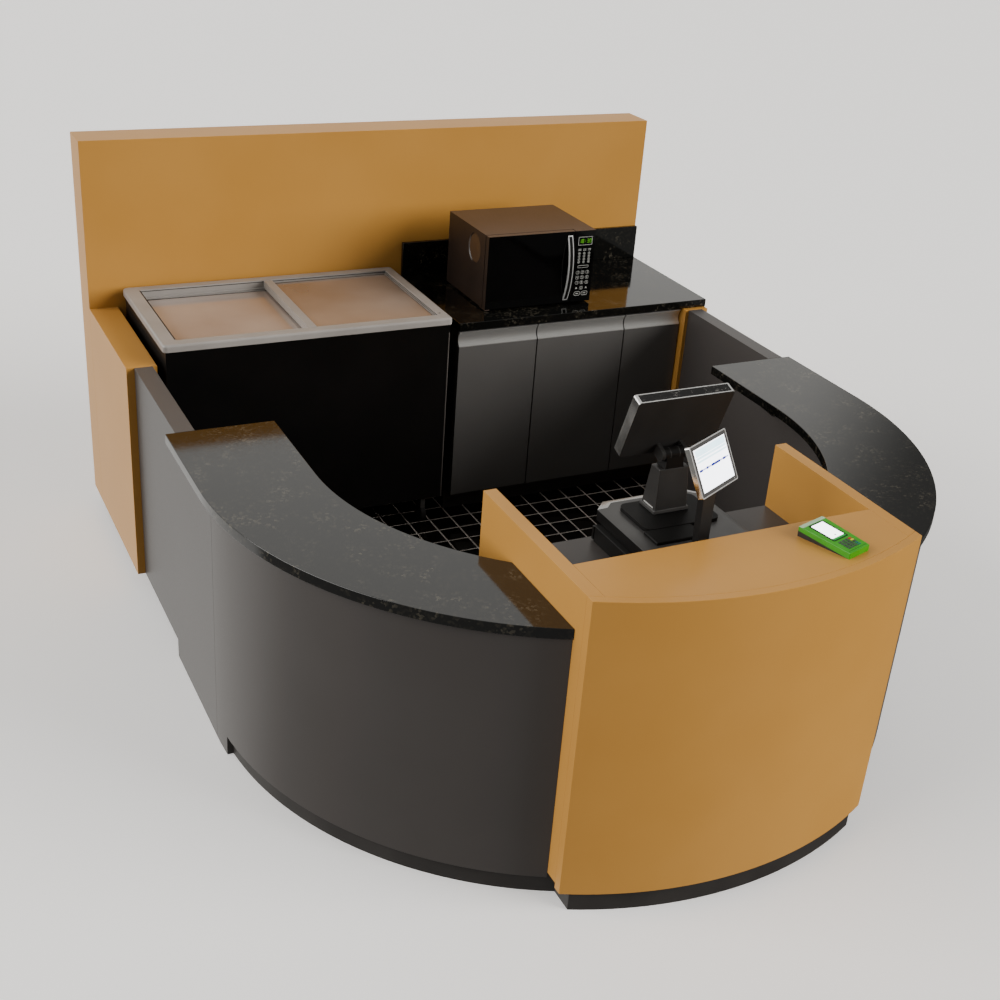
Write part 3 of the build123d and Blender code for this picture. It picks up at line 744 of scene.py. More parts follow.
    def piece(
        self,
        name: str,
        body: Body,
        finishes: Sequence[Finish],
        slot: Slot,
        replaces: Sequence[str] = (),
        edge: float = 0.0,
        steps: int = 2,
    ) -> bpy.types.Object:
        """Finish the mesh as a piece of the kiosk.

        Args:
            name: Name of the piece.
            body: What it moves with.
            finishes: Finishes by number.
            slot: Name of its place in the list of materials; not used.
            replaces: Solids that it stands for.
            edge: Width of the rounding of its sharp edges.
            steps: Facets of that rounding.

        Returns:
            The piece.
        """
        data = bpy.data.meshes.new(name)
        for face in self.mesh.faces:
            face.smooth = True
        if not edge:
            for ridge in self.mesh.edges:
                if ridge.calc_face_angle(0.0) > SHARP:
                    ridge.smooth = False
        self.mesh.to_mesh(data)
        self.mesh.free()
        piece = bpy.data.objects.new(name, data)
        bpy.context.scene.collection.objects.link(piece)
        for finish in finishes:
            data.materials.append(finish.material())
        if edge:
            bevel = piece.modifiers.new("edges", "BEVEL")
            bevel.width = edge
            bevel.segments = steps
            bevel.limit_method = "ANGLE"
            bevel.angle_limit = SHARP
            weighted = piece.modifiers.new("normals", "WEIGHTED_NORMAL")
            weighted.keep_sharp = True
        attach(piece, body.value)
        if replaces:
            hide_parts(*replaces)
        log.info("%s: %d faces", name, len(data.polygons))
        return piece


def refined(
    node: str, finish: Finish, slot: Slot, edge: float = 0.001, body: Body = Body.KIOSK
) -> bpy.types.Object:
    """Make a piece from one of the kiosk's solids, with its sharp edges eased.

    Args:
        node: Name of the solid.
        finish: Its finish.
        slot: Its place in the list of materials.
        edge: Width of the easing.
        body: What it moves with.

    Returns:
        The piece.
    """
    return Shape().solid(node).piece(node + "_eased", body, [finish], slot, [node], edge)


# ---- sub-assemblies ----


@dataclass
class Shell:
    """Back wall, wings, side walls, round front walls and what they stand on."""

    edge: float = 0.0015

    def build(self) -> None:
        """Dress the walls and the boards under them."""
        for node in ("back_wall", "wing_left", "wing_right"):
            refined(node, OCHRE_LAMINATE, Slot.OCHRE, self.edge)
        for side in ("left", "right"):
            for wall in ("side_wall_", "front_wall_"):
                refined(wall + side, GREY_LAMINATE, Slot.GREY, self.edge)
        refined("front_plinths", BASE_BOARD, Slot.PLINTH, self.edge)
        refined("platform", BASE_BOARD, Slot.PLATFORM, self.edge)
        refined("counter_brackets", BRACKET_STEEL, Slot.BRACKET, self.edge)


@dataclass
class TiledFloor:
    """Square tiles with their tops at the level of the floor, and grout between them."""

    pitch: float = TILE_PITCH
    joint: float = 0.0075
    first_x: float = -0.014
    first_y: float = 0.530
    recess: float = 0.0015
    edge: float = 0.0012
    cover: float = 0.01
    curve_y: float = -0.316

    def build(self) -> None:
        """Lay the grout and the tiles."""
        floor = Extent.of("floor")
        grout = self.outline(floor)
        for vert in grout.mesh.verts:
            if vert.co.z > floor.middle.z:
                vert.co.z -= self.recess
        grout.piece("floor_grout", Body.KIOSK, [GROUT], Slot.TILE, ["floor"])
        self.tiles(floor)

    def outline(self, floor: Extent) -> Shape:
        """Let the floor out to the round walls, which it stops short of by a narrow slot.

        Args:
            floor: Extent of the floor.

        Returns:
            Shape of the floor from wall to wall.
        """
        shape = Shape().solid("floor")
        inner, start = floor.high.x - CLOSE, self.curve_y + CLOSE
        curved = [v for v in shape.mesh.verts if v.co.y < start and abs(v.co.x) < inner]
        slot = floor.high.x - max(vert.co.x for vert in curved)
        for vert in curved:
            vert.co.x += math.copysign(slot, vert.co.x)
        bmesh.ops.remove_doubles(shape.mesh, verts=shape.mesh.verts, dist=0.0005)
        return shape

    def tiles(self, floor: Extent) -> None:
        """Lay whole tiles over the floor and trim them to its outline."""
        laid = Shape()
        tile = bmesh.new()
        bmesh.ops.create_cube(tile, size=1.0)
        side = self.pitch - self.joint
        bmesh.ops.scale(tile, vec=(side, side, 2 * self.recess + 0.002), verts=tile.verts)
        top = [e for e in tile.edges if all(v.co.z > 0 for v in e.verts)]
        Shape.round_edges(tile, top, self.edge, 2)
        drop = floor.high.z - max(v.co.z for v in tile.verts)
        for i in range(*self.count(floor.low.x, floor.high.x, self.first_x)):
            for j in range(*self.count(floor.low.y, floor.high.y, self.first_y)):
                x = self.first_x + (i + 0.5) * self.pitch
                y = self.first_y + (j + 0.5) * self.pitch
                laid.join(tile.copy(), 0, Matrix.Translation((x, y, drop)))
        tile.free()
        outline = self.outline(floor)
        for vert in outline.mesh.verts:
            vert.co.z += self.cover if vert.co.z > floor.middle.z else 0.0
        laid.carve(outline, Cut.INSIDE, [TILE])
        laid.piece("floor_tiles", Body.KIOSK, [TILE], Slot.TILE)

    def count(self, low: float, high: float, first: float) -> tuple[int, int]:
        """First and last number of the tiles between two places."""
        return math.floor((low - first) / self.pitch), math.ceil((high - first) / self.pitch)


@dataclass
class StoneTops:
    """Granite tops of the front walls and the back counter, with its upstand."""

    arris: float = 0.0025

    def build(self) -> None:
        """Polish each slab."""
        for node in ("counter_top_left", "counter_top_right", "back_counter_top", "backsplash"):
            refined(node, GRANITE, Slot.STONE, self.arris)


@dataclass
class CashCounter:
    """Bowed ochre front with its ledge, its two side panels, and the grey desk between them."""

    edge: float = 0.0015

    def build(self) -> None:
        """Dress the panels, the desk and the plinth."""
        for node in ("cash_front", "cash_side_left", "cash_side_right", "cash_ledge"):
            refined(node, OCHRE_LAMINATE, Slot.OCHRE, self.edge)
        refined("cash_desk", GREY_LAMINATE, Slot.GREY, self.edge)
        refined("cash_plinth", BASE_BOARD, Slot.PLINTH, self.edge)


@dataclass
class Cabinet:
    """Cupboards under the back counter, with hollow aluminium pulls along the doors' tops."""

    edge: float = 0.001
    lip: float = 0.003
    cap: float = 0.0025
    proud: float = 0.0002

    def build(self) -> None:
        """Dress the carcass, the doors and the pulls."""
        for node in ("cabinet_base", "cabinet_uprights"):
            refined(node, CABINET_BOARD, Slot.CARCASS, self.edge)
        doors = (Body.LEFT_DOOR, Body.MIDDLE_DOOR, Body.RIGHT_DOOR)
        for number, body in enumerate(doors, 1):
            refined(f"cabinet_door_{number}", DOOR_LAMINATE, Slot.DOOR, self.edge, body)
            self.pull(f"door_handle_{number}", body)

    def pull(self, node: str, body: Body) -> None:
        """Make the pull of a door, with a bright lower lip and bright cut ends.

        Args:
            node: Solid of the pull.
            body: Door that it belongs to.
        """
        at = Extent.of(node)
        low, high = at.low, at.high

        def bright(face: bmesh.types.BMFace) -> int:
            """Cut ends and the lower lip 1, the rest 0."""
            mid = face.calc_center_median()
            end = min(mid.x - low.x, high.x - mid.x) < self.cap
            return 1 if end or mid.z < low.z + self.lip + CLOSE else 0

        cuts = [((x, 0, 0), (1, 0, 0)) for x in (low.x + self.cap, high.x - self.cap)]
        shape = Shape().solid(node, choose=bright, lines=cuts)
        shape.box(
            (low.x, low.y - self.proud, low.z),
            (high.x, low.y + self.lip, low.z + self.lip),
            finish=1,
        )
        shape.piece(node + "_eased", body, [PULL_ALUMINIUM, LIP_ALUMINIUM], Slot.PULL, [node])


@dataclass
class Freezer:
    """Chest freezer on castors, with a pale rim and two sliding lids of mirror glass."""

    rim_edge: float = 0.0015
    glass: float = 0.006
    border: float = 0.007
    stile: float = 0.040
    thick: float = 0.022
    rebate: float = 0.003
    sunk: float = 0.002
    seal: float = 0.003
    groove: tuple[float, float] = (0.006, 0.0095)
    screw: tuple[float, float] = (0.035, 0.075)
    screw_radius: float = 0.0045
    screw_proud: float = 0.0008
    inner_reach: float = 0.0225
    # Width, rise and shortfall of the strip down the right front corner, a painted highlight.
    trim: float = 0.005
    highlight_proud: float = 0.0006
    highlight_drop: float = 0.04
    # Width, gap, overrun and rise of the dark strip on the rim's top beside the left lid, painted
    # shadow.
    line: float = 0.006
    shadow_gap: float = 0.002
    shadow_over: float = 0.01
    shadow_proud: float = 0.0004
    tread: float = 0.078

    def build(self) -> None:
        """Dress the chest, the rim, the lids and the castors."""
        self.chest()
        self.rim()
        self.lid("freezer_lid_left", Body.LEFT_LID, self.border, LID_GLASS)
        # The right pane's darker glass is painted reflection.
        self.lid("freezer_lid_right", Body.RIGHT_LID, self.stile, PAINTED_REFLECTION_GLASS)
        self.castors()

    def chest(self) -> None:
        """Paint the chest black, with a pale strip down its right front corner that is a painted
        highlight.
        """
        at = Extent.of("freezer_body")
        shape = Shape().solid("freezer_body")
        corner = Vector((at.high.x, at.low.y, at.low.z))
        low = corner - Vector((self.trim, self.highlight_proud, 0))
        tall = at.high.z - at.low.z - self.highlight_drop
        high = corner + Vector((self.highlight_proud, self.trim, tall))
        shape.box(low, high, 0.002, Axis.Z, finish=1)
        finishes = [FREEZER_STEEL, EDGE_HIGHLIGHT_PAINT]
        body = ["freezer_body"]
        shape.piece("freezer_chest", Body.KIOSK, finishes, Slot.CHEST, body, 0.001)

    def rim(self) -> None:
        """Mould the rim, with a dark seal let into its inner walls, a screw in its top, and a dark
        strip on its top beside the left lid's gap that is painted shadow.
        """
        at = Extent.of("freezer_rim")
        top = at.high.z

        def inside(face: bmesh.types.BMFace) -> int:
            """Seal on the inner walls 1, the rest 0."""
            mid = face.calc_center_median()
            if abs(face.normal.z) > 0.3 or not self.groove[0] < top - mid.z < self.groove[1]:
                return 0
            return 1 if (mid - at.middle).dot(face.normal) < -self.inner_reach else 0

        lines = [((0, 0, top - depth), (0, 0, 1)) for depth in self.groove]
        shape = Shape().solid("freezer_rim", choose=inside, lines=lines)
        x, y = at.high.x - self.screw[0], at.low.y + self.screw[1]
        head = top + self.screw_proud
        shape.rod((x, y, top - SINK), (x, y, head), self.screw_radius, finish=2)
        # A dark strip on the rim's top beside the left lid's gap is painted shadow.
        lids = Extent.of("freezer_lid_left")
        edge = lids.low.x - self.seal - self.shadow_gap
        low = (edge - self.line, lids.low.y - self.shadow_over, top - SINK)
        shape.box(low, (edge, lids.high.y + self.shadow_over, top + self.shadow_proud), finish=1)
        finishes = [RIM_ABS, SEAL_RUBBER_AND_SHADOW, SCREW_STEEL]
        shape.piece("freezer_rim_eased", Body.KIOSK, finishes, Slot.RIM, ["freezer_rim"], 0.0006)

    def lid(self, node: str, body: Body, stile: float, glass: Finish) -> None:
        """Make a lid of a frame and its sealed pane, with a raised profile where it has one.

        Args:
            node: Solid of the lid.
            body: What it moves with.
            stile: Width of the frame's left side.
            glass: Finish of the pane.
        """
        at = Extent.of(node)
        low = at.low
        high = Vector((at.high.x, at.high.y, low.z + self.thick))
        inner_low = Vector((low.x + stile, low.y + self.border, 0))
        inner_high = Vector((high.x - self.border, high.y - self.border, 0))
        shape = Shape()
        for a, b in (
            ((low.x, low.y), (high.x, inner_low.y)),
            ((low.x, inner_high.y), (high.x, high.y)),
            ((low.x, inner_low.y), (inner_low.x, inner_high.y)),
            ((inner_high.x, inner_low.y), (high.x, inner_high.y)),
        ):
            shape.box((*a, low.z), (*b, high.z))
        bmesh.ops.remove_doubles(shape.mesh, verts=shape.mesh.verts, dist=1e-5)
        if at.high.z > high.z:
            shape.box((low.x, low.y, high.z - SINK), (inner_low.x, high.y, at.high.z), 0.002)
        top = high.z - self.sunk
        for a, b in (
            ((inner_low.x, inner_low.y), (inner_high.x, inner_low.y + self.seal)),
            ((inner_low.x, inner_high.y - self.seal), (inner_high.x, inner_high.y)),
            ((inner_low.x, inner_low.y), (inner_low.x + self.seal, inner_high.y)),
            ((inner_high.x - self.seal, inner_low.y), (inner_high.x, inner_high.y)),
        ):
            shape.box((*a, top - SINK), (*b, top + SINK), finish=1)
        finishes = [RIM_ABS, SEAL_RUBBER_AND_SHADOW]
        shape.piece(node + "_frame", body, finishes, Slot.RIM, [node], self.rim_edge)
        hold = Vector((self.rebate, self.rebate, 0))
        pane = Shape()
        pane.box((*(inner_low - hold).xy, top - self.glass), (*(inner_high + hold).xy, top))
        pane.piece(node + "_pane", body, [glass], Slot.PANE, (), 0.001)

    def castors(self) -> None:
        """Dress the wheels and their forks."""
        tread = Extent.of("floor").high.z + self.tread

        def wheel(face: bmesh.types.BMFace) -> int:
            """Tell the tread 0 from the fork 1 by its height."""
            return 0 if face.calc_center_median().z < tread else 1

        Shape().solid("freezer_castors", choose=wheel).piece(
            "freezer_castors_eased",
            Body.KIOSK,
            [WHEEL_RUBBER, BRACKET_STEEL],
            Slot.CASTOR,
            ["freezer_castors"],
            0.001,
        )


@dataclass
class Microwave:
    """Microwave oven: brown pressed case, black glass door, bowed bar, clock and keypad."""

    edge: float = 0.0008
    grip_back: tuple[float, float] = (0.084, 0.213)
    grip_drop: tuple[float, float] = (0.020, 0.165)
    grip_depth: float = 0.004
    window: Triple = (0.05, 0.075, 0.05)
    window_corner: float = 0.012
    bar_strip: float = 0.62
    bar_stretch: float = 1.05
    bar_drop: float = 0.0035
    strip_proud: float = 0.0007
    strip_end: float = 0.006
    ink: float = 0.0004
    under: float = 0.0002
    aside: float = 0.003
    clock: tuple[float, float] = (0.074, 0.040)
    clock_z: float = -0.050
    clock_figure: float = 0.0165
    key_figure: float = 0.0095
    columns: tuple[float, ...] = (-0.026, 0.0, 0.026)
    label_rows: tuple[float, ...] = (-0.089, -0.095)
    ring_rows: tuple[float, ...] = (-0.110, -0.124, -0.138, -0.152)
    number_rows: tuple[float, ...] = (-0.203, -0.228, -0.253)
    zero_row: float = -0.280
    number_key: tuple[float, ...] = (0.018, 0.016, 0.0011, 0.006)
    wide_key: tuple[float, ...] = (0.0, -0.1745, 0.058, 0.012, 0.0014, 0.004)
    last_keys: tuple[float, float] = (0.0195, -0.307)

    @property
    def case(self) -> Extent:
        """Extent of the case."""
        return Extent.of("microwave_body")

    @property
    def door(self) -> Extent:
        """Extent of the door without its bar."""
        return Extent.of("microwave_door")

    def build(self) -> None:
        """Make the case, the door, the bar and the control panel."""
        self.shell()
        self.door_leaf()
        self.bar()
        self.panel()

    def shell(self) -> None:
        """Enamel the case outside and in, its sides darker than its top as painted shade, with an
        oval grip pressed into each side whose floor is lighter as painted highlight.
        """
        case, door = self.case, self.door

        def part(face: bmesh.types.BMFace) -> int:
            """Top 0, cavity 1, control column's glass 2, sides 4 in painted shade."""
            mid, normal = face.calc_center_median(), face.normal
            if min(mid.x - case.low.x, case.high.x - mid.x) < CLOSE and abs(normal.x) > 0.9:
                return 4
            if mid.x > door.high.x and normal.y < -0.9 and mid.y < door.high.y:
                return 2
            inside = (mid - case.middle).dot(normal) < 0 and abs(normal.y) < 0.9
            return 1 if inside and mid.y > door.high.y else 0

        finishes = [OVEN_ENAMEL, CAVITY_ENAMEL, BLACK_GLASS, GRIP_PAINTED_HIGHLIGHT, SHADED_SIDE_ENAMEL]
        shape = Shape().solid("microwave_body", choose=part)
        y = case.low.y + sum(self.grip_back) / 2
        z = case.high.z - sum(self.grip_drop) / 2
        wide = (self.grip_back[1] - self.grip_back[0]) / 2
        high = (self.grip_drop[1] - self.grip_drop[0]) / 2
        for x, way in ((case.low.x, 1), (case.high.x, -1)):
            spot = Matrix.Translation((x, y, z)) @ Matrix.Diagonal((1.0, wide, high, 1.0))
            grip = Shape(spot)
            reach = way * self.grip_depth
            grip.rod((-reach, 0, 0), (reach, 0, 0), 1.08, 0.9, finish=3, sides=56)
            shape.carve(grip, Cut.OUTSIDE, finishes)
        # The grip's walls take the sides' painted shade; only its floor keeps the lighter painted
        # highlight.
        for face in shape.mesh.faces:
            if face.material_index == 3 and abs(face.normal.x) < 0.9:
                face.material_index = 4
        body = ["microwave_body"]
        shape.piece("microwave_case", Body.KIOSK, finishes, Slot.ENAMEL, body, self.edge)

    def door_leaf(self) -> None:
        """Make the door of its enamelled edge, darker on the left as painted shade, and a glass
        front with its window.
        """
        low, high = self.door.low, self.door.high

        def part(face: bmesh.types.BMFace) -> int:
            """Top edge 1, left edge 2 in painted shade, glass 0."""
            if face.normal.z > 0.5:
                return 1
            return 2 if face.normal.x < -0.5 else 0

        shape = Shape().solid("microwave_door", choose=part)
        finishes = [BLACK_GLASS, OVEN_ENAMEL, SHADED_SIDE_ENAMEL]
        shape.piece(
            "microwave_door_leaf",
            Body.OVEN_DOOR,
            finishes,
            Slot.OVEN_GLASS,
            ["microwave_door"],
            self.edge,
        )
        left, right, ends = self.window
        start = (low.x + left, low.y - self.ink, low.z + ends)
        end = (high.x - right, low.y + SINK, high.z - ends)
        window = Shape()
        window.box(start, end, self.window_corner, Axis.Y)
        window.piece("microwave_window", Body.OVEN_DOOR, [BLACK_GLASS], Slot.OVEN_GLASS)

    def bar(self) -> None:
        """Make the bowed bar of chrome with a dark strip along its front."""
        middle = Extent.of("microwave_handle").middle
        shape = Shape()
        reach = (Extent.of("microwave_handle").high.z - middle.z) - self.strip_end
        for finish, across, proud in ((0, 1.0, 0.0), (1, self.bar_strip, self.strip_proud)):
            bar = Shape().solid("microwave_handle").mesh
            for side in (-1, 1) if finish else ():
                end = middle + Vector((0, 0, side * reach))
                Shape.part_along(bar, end, (0, 0, side), drop=True)
            grow = Matrix.Diagonal((across, 1.0, self.bar_stretch, 1.0))
            spot = Matrix.Translation(middle) @ grow @ Matrix.Translation(-middle)
            shape.join(bar, finish, Matrix.Translation((0, -proud, -self.bar_drop)) @ spot)
        node = ["microwave_handle"]
        finishes = [SATIN_CHROME, BLACK_ABS]
        shape.piece("microwave_bar", Body.OVEN_DOOR, finishes, Slot.CHROME, node, 0.0015)

    def panel(self) -> None:
        """Set out the clock, the keys and their marks on the glass of the control column."""
        middle = (self.door.high.x + self.case.high.x) / 2 + self.aside
        spot = Matrix.Translation((middle, self.case.low.y, self.door.high.z))
        marks = Shape(spot)
        self.outline(marks, 0.0, self.clock_z, *self.clock, 0.0018)
        digits = Shape(spot)
        self.digits(digits, "18:30", 0.0, self.clock_z, self.clock_figure)
        digits.piece("microwave_clock", Body.KIOSK, [CLOCK_LED], Slot.OVEN_GLASS)
        for number, x in enumerate(self.columns):
            for z in self.label_rows:
                self.mark(marks, x, z, 0.016, 0.0022)
            for z in self.ring_rows:
                ends = (x, self.under, z), (x, -self.ink, z)
                marks.rod(*ends, 0.0060, sides=14, border=0.0014)
                self.mark(marks, x, z, 0.0042, 0.0028)
            for row, z in enumerate(self.number_rows):
                self.outline(marks, x, z, *self.number_key)
                self.digits(marks, str(row * 3 + number + 1), x, z, self.key_figure)
        self.outline(marks, *self.wide_key)
        z = self.zero_row
        self.outline(marks, 0.0, z, *self.number_key)
        self.digits(marks, "0", 0.0, z, self.key_figure)
        for x in (self.columns[0], self.columns[-1]):
            marks.rod((x, self.under, z), (x, -self.ink, z), 0.0065, sides=3)
        side, z = self.last_keys
        for x in (-side, side):
            self.outline(marks, x, z, 0.034, 0.020, 0.0016, 0.008)
            self.mark(marks, x, z, 0.015, 0.003)
        marks.piece("microwave_keypad", Body.KIOSK, [PRINT_INK], Slot.OVEN_GLASS)

    def mark(self, shape: Shape, x: float, z: float, w: float, h: float) -> None:
        """Add a flat bar on the glass."""
        shape.box((x - w / 2, -self.ink, z - h / 2), (x + w / 2, self.under, z + h / 2))

    def outline(
        self,
        shape: Shape,
        x: float,
        z: float,
        w: float,
        h: float,
        line: float,
        corner: float = 0.001,
    ) -> None:
        """Add a flat frame with round corners on the glass.

        Args:
            shape: Shape that gets it.
            x: Middle of its width.
            z: Middle of its height.
            w: Width.
            h: Height.
            line: Width of its line.
            corner: Radius of its corners.
        """
        low, high = (x - w / 2, -self.ink, z - h / 2), (x + w / 2, self.under, z + h / 2)
        shape.box(low, high, corner, Axis.Y, border=line)

    def digits(self, shape: Shape, text: str, x: float, z: float, height: float) -> None:
        """Add figures of seven bars each, with a colon of two dots.

        Args:
            shape: Shape that gets them.
            text: Figures and colons.
            x: Middle of the row.
            z: Middle of its height.
            height: Height of a figure.
        """
        lit = {
            "0": "abcdef",
            "1": "bc",
            "2": "abged",
            "3": "abgcd",
            "4": "fgbc",
            "5": "afgcd",
            "6": "afgedc",
            "7": "abc",
            "8": "abcdefg",
            "9": "abcdfg",
        }
        w, line, half = height * 0.5, height * 0.13, height / 2
        bars = {
            "a": (0, half, w, line),
            "g": (0, 0, w, line),
            "d": (0, -half, w, line),
            "f": (-w / 2, half / 2, line, half),
            "b": (w / 2, half / 2, line, half),
            "e": (-w / 2, -half / 2, line, half),
            "c": (w / 2, -half / 2, line, half),
        }
        pitch = w * 1.65
        start = x - pitch * (len(text) - 1) / 2
        for number, figure in enumerate(text):
            at = start + number * pitch
            if figure == ":":
                for side in (-1, 1):
                    self.mark(shape, at, z + side * height / 5, line, line)
                continue
            for name in lit[figure]:
                dx, dz, bar_w, bar_h = bars[name]
                self.mark(shape, at + dx, z + dz, bar_w, bar_h)


@dataclass
class Till:
    """Till with its cash drawer, stand and staff screen."""

    tilt: float = math.radians(20)
    screen_w: float = 0.378
    screen_h: float = 0.250
    screen_t: float = 0.042
    hang: float = 0.105
    off: float = 0.032
    band: float = 0.003
    pad_t: float = 0.014
    lock: float = 0.011
    ring: tuple[float, float, float] = (0.018, 0.0008, 0.0236)
    neck_y: float = 0.008
    skirt: Triple = (0.142, 0.098, 0.014)
    neck: Triple = (0.130, 0.094, 0.164)
    neck_top: Triple = (0.90, 0.60, 1.0)
    neck_lean: float = -0.0063
    strip: Triple = (0.002, 0.060, 0.005)
    strip_at: tuple[float, float] = (0.0015, 0.004)
    # Corners of the black block in front of the stand's pad, from the pad's lowest corner: painted
    # shadow.
    shadow_block: tuple[Triple, Triple] = ((-0.012, -0.085, 0.0), (0.175, 0.004, 0.012))
    plate: float = 0.0006
    glass_inset: float = 0.004

    @property
    def spot(self) -> Matrix:
        """Place and turn of the screen: X along its hinge, Y to its front, Z up it."""
        turn = Matrix.Rotation(self.tilt, 4, "X")
        return Matrix.Translation(hinge("till_screen_tilt")) @ turn

    def build(self) -> None:
        """Make the drawer, the body, the stand and the screen."""
        refined("cash_drawer_case", BLACK_ABS, Slot.TILL, 0.0015)
        self.drawer()
        self.body()
        self.stand()
        self.screen()

    def drawer(self) -> None:
        """Make the drawer with its lock."""
        at = Extent.of("cash_drawer_tray")
        shape = Shape().solid("cash_drawer_tray")
        x, y, z = at.middle.x, at.high.y, at.middle.z
        ends = (x, y - SINK, z), (x, y + 0.003, z)
        shape.rod(*ends, self.lock, rounding=0.001, finish=1)
        shape.box((x - 0.0012, y + 0.0025, z - 0.006), (x + 0.0012, y + 0.0034, z + 0.006))
        tray = ["cash_drawer_tray"]
        finishes = [BLACK_ABS, CHROME]
        shape.piece("cash_drawer_front", Body.DRAWER, finishes, Slot.TILL, tray, 0.001)

    def body(self) -> None:
        """Make the body black, with a grey bevelled top that is bright along the staff's side, and
        a black block in front of the stand's pad that is painted shadow.
        """

        def part(face: bmesh.types.BMFace) -> int:
            """Sides 0, top and its borders 1, the staff's border 2."""
            if face.normal.z < 0.05:
                return 0
            return 2 if face.normal.z < 0.99 and face.normal.y > 0.1 else 1

        finishes = [BLACK_ABS, GRAPHITE_ABS, SILVER_PAINT, PAD_RUBBER_AND_SHADOW]
        shape = Shape().solid("till_body", choose=part)
        # A black block in front of the pad is painted shadow.
        start = Extent.of("till_stand").low
        low, high = (start + Vector(corner) for corner in self.shadow_block)
        shape.box(low, high, 0.004, finish=3)
        shape.piece("till_housing", Body.KIOSK, finishes, Slot.TILL_METAL, ["till_body"], 0.001)

    def stand(self) -> None:
        """Make the pad, the neck with its skirt and strip, and the ringed barrel."""
        pad = Extent.of("till_stand")
        at = hinge("till_screen_tilt")
        foot = pad.low.z + self.pad_t

        def part(face: bmesh.types.BMFace) -> int:
            """Pad 1, the rest 0."""
            return 1 if face.calc_center_median().z < foot + 0.0005 else 0

        shape = Shape().solid("till_stand", choose=part)
        side, half, radius = self.ring
        for x in (at.x - side, at.x + side):
            shape.rod((x - half, at.y, at.z), (x + half, at.y, at.z), radius, finish=2)
        middle = Vector((at.x, at.y + self.neck_y, foot))
        half = Vector((self.skirt[0] / 2, self.skirt[1] / 2, 0))
        shape.box(middle - half, middle + half + Vector((0, 0, self.skirt[2])), 0.003, finish=2)
        half = Vector((self.neck[0] / 2, self.neck[1] / 2, 0))
        top = middle + half + Vector((0, 0, self.neck[2]))
        shape.pillar(middle - half, top, self.neck_top, self.neck_lean, 0.004, 3)
        thick, length, height = self.strip
        inward, up = self.strip_at
        edge = Vector((middle.x - half.x + inward, middle.y, foot + self.skirt[2] + up))
        reach = Vector((thick, length / 2, height / 2))
        shape.box(edge - reach, edge + Vector((SINK, length / 2, height / 2)), finish=4)
        finishes = [BLACK_ABS, PAD_RUBBER_AND_SHADOW, GRAPHITE_ABS, NECK_ABS_AND_POST_LIGHT, SATIN_CHROME]
        node = ["till_stand"]
        shape.piece("till_stand_eased", Body.KIOSK, finishes, Slot.TILL, node, 0.0015, 3)

    def screen(self) -> None:
        """Make the screen: chrome edge, darker at the sides and bottom as painted reflection,
        black back, flaked strip, glass.
        """
        spot = self.spot
        w, h, near, far = self.screen_w / 2, self.screen_h / 2, self.off, self.off + self.screen_t
        low, high = self.hang - h, self.hang + h
        turn = spot.to_3x3().inverted()

        def part(face: bmesh.types.BMFace) -> int:
            """Black 0, bright chrome along the top 1, darker chrome along the sides and bottom as
            painted reflection 3.
            """
            local = spot.inverted() @ face.calc_center_median()
            if abs((turn @ face.normal).y) > 0.5 or local.y < near - CLOSE:
                return 0
            if abs(local.x) > w - CLOSE or local.z < low + CLOSE:
                return 3
            return 1 if local.z > 0.03 else 0

        shape = Shape(spot).solid("till_screen", choose=part)
        rim = self.band + 0.001
        strip_low = (-w + 3 * rim, near + rim, high - SINK)
        shape.box(strip_low, (w - 3 * rim, far - rim, high + 0.0004), finish=2)
        start = (-w + self.band, near - self.plate, low + self.band)
        shape.box(start, (w - self.band, near + SINK, high - self.band), 0.010, Axis.Y)
        finishes = [BACK_ABS, SATIN_CHROME, FLAKE_LACQUER, CHROME_PAINTED_DARK_REFLECTION]
        node = ["till_screen"]
        shape.piece("till_screen_case", Body.STAFF_SCREEN, finishes, Slot.TILL, node, 0.001)
        glass, inset = Shape(spot), self.glass_inset
        start = (-w + inset, far - SINK, low + inset)
        glass.box(start, (w - inset, far + self.plate, high - inset), 0.006, Axis.Y)
        glass.piece("till_screen_glass", Body.STAFF_SCREEN, [BLACK_GLASS], Slot.SCREEN)


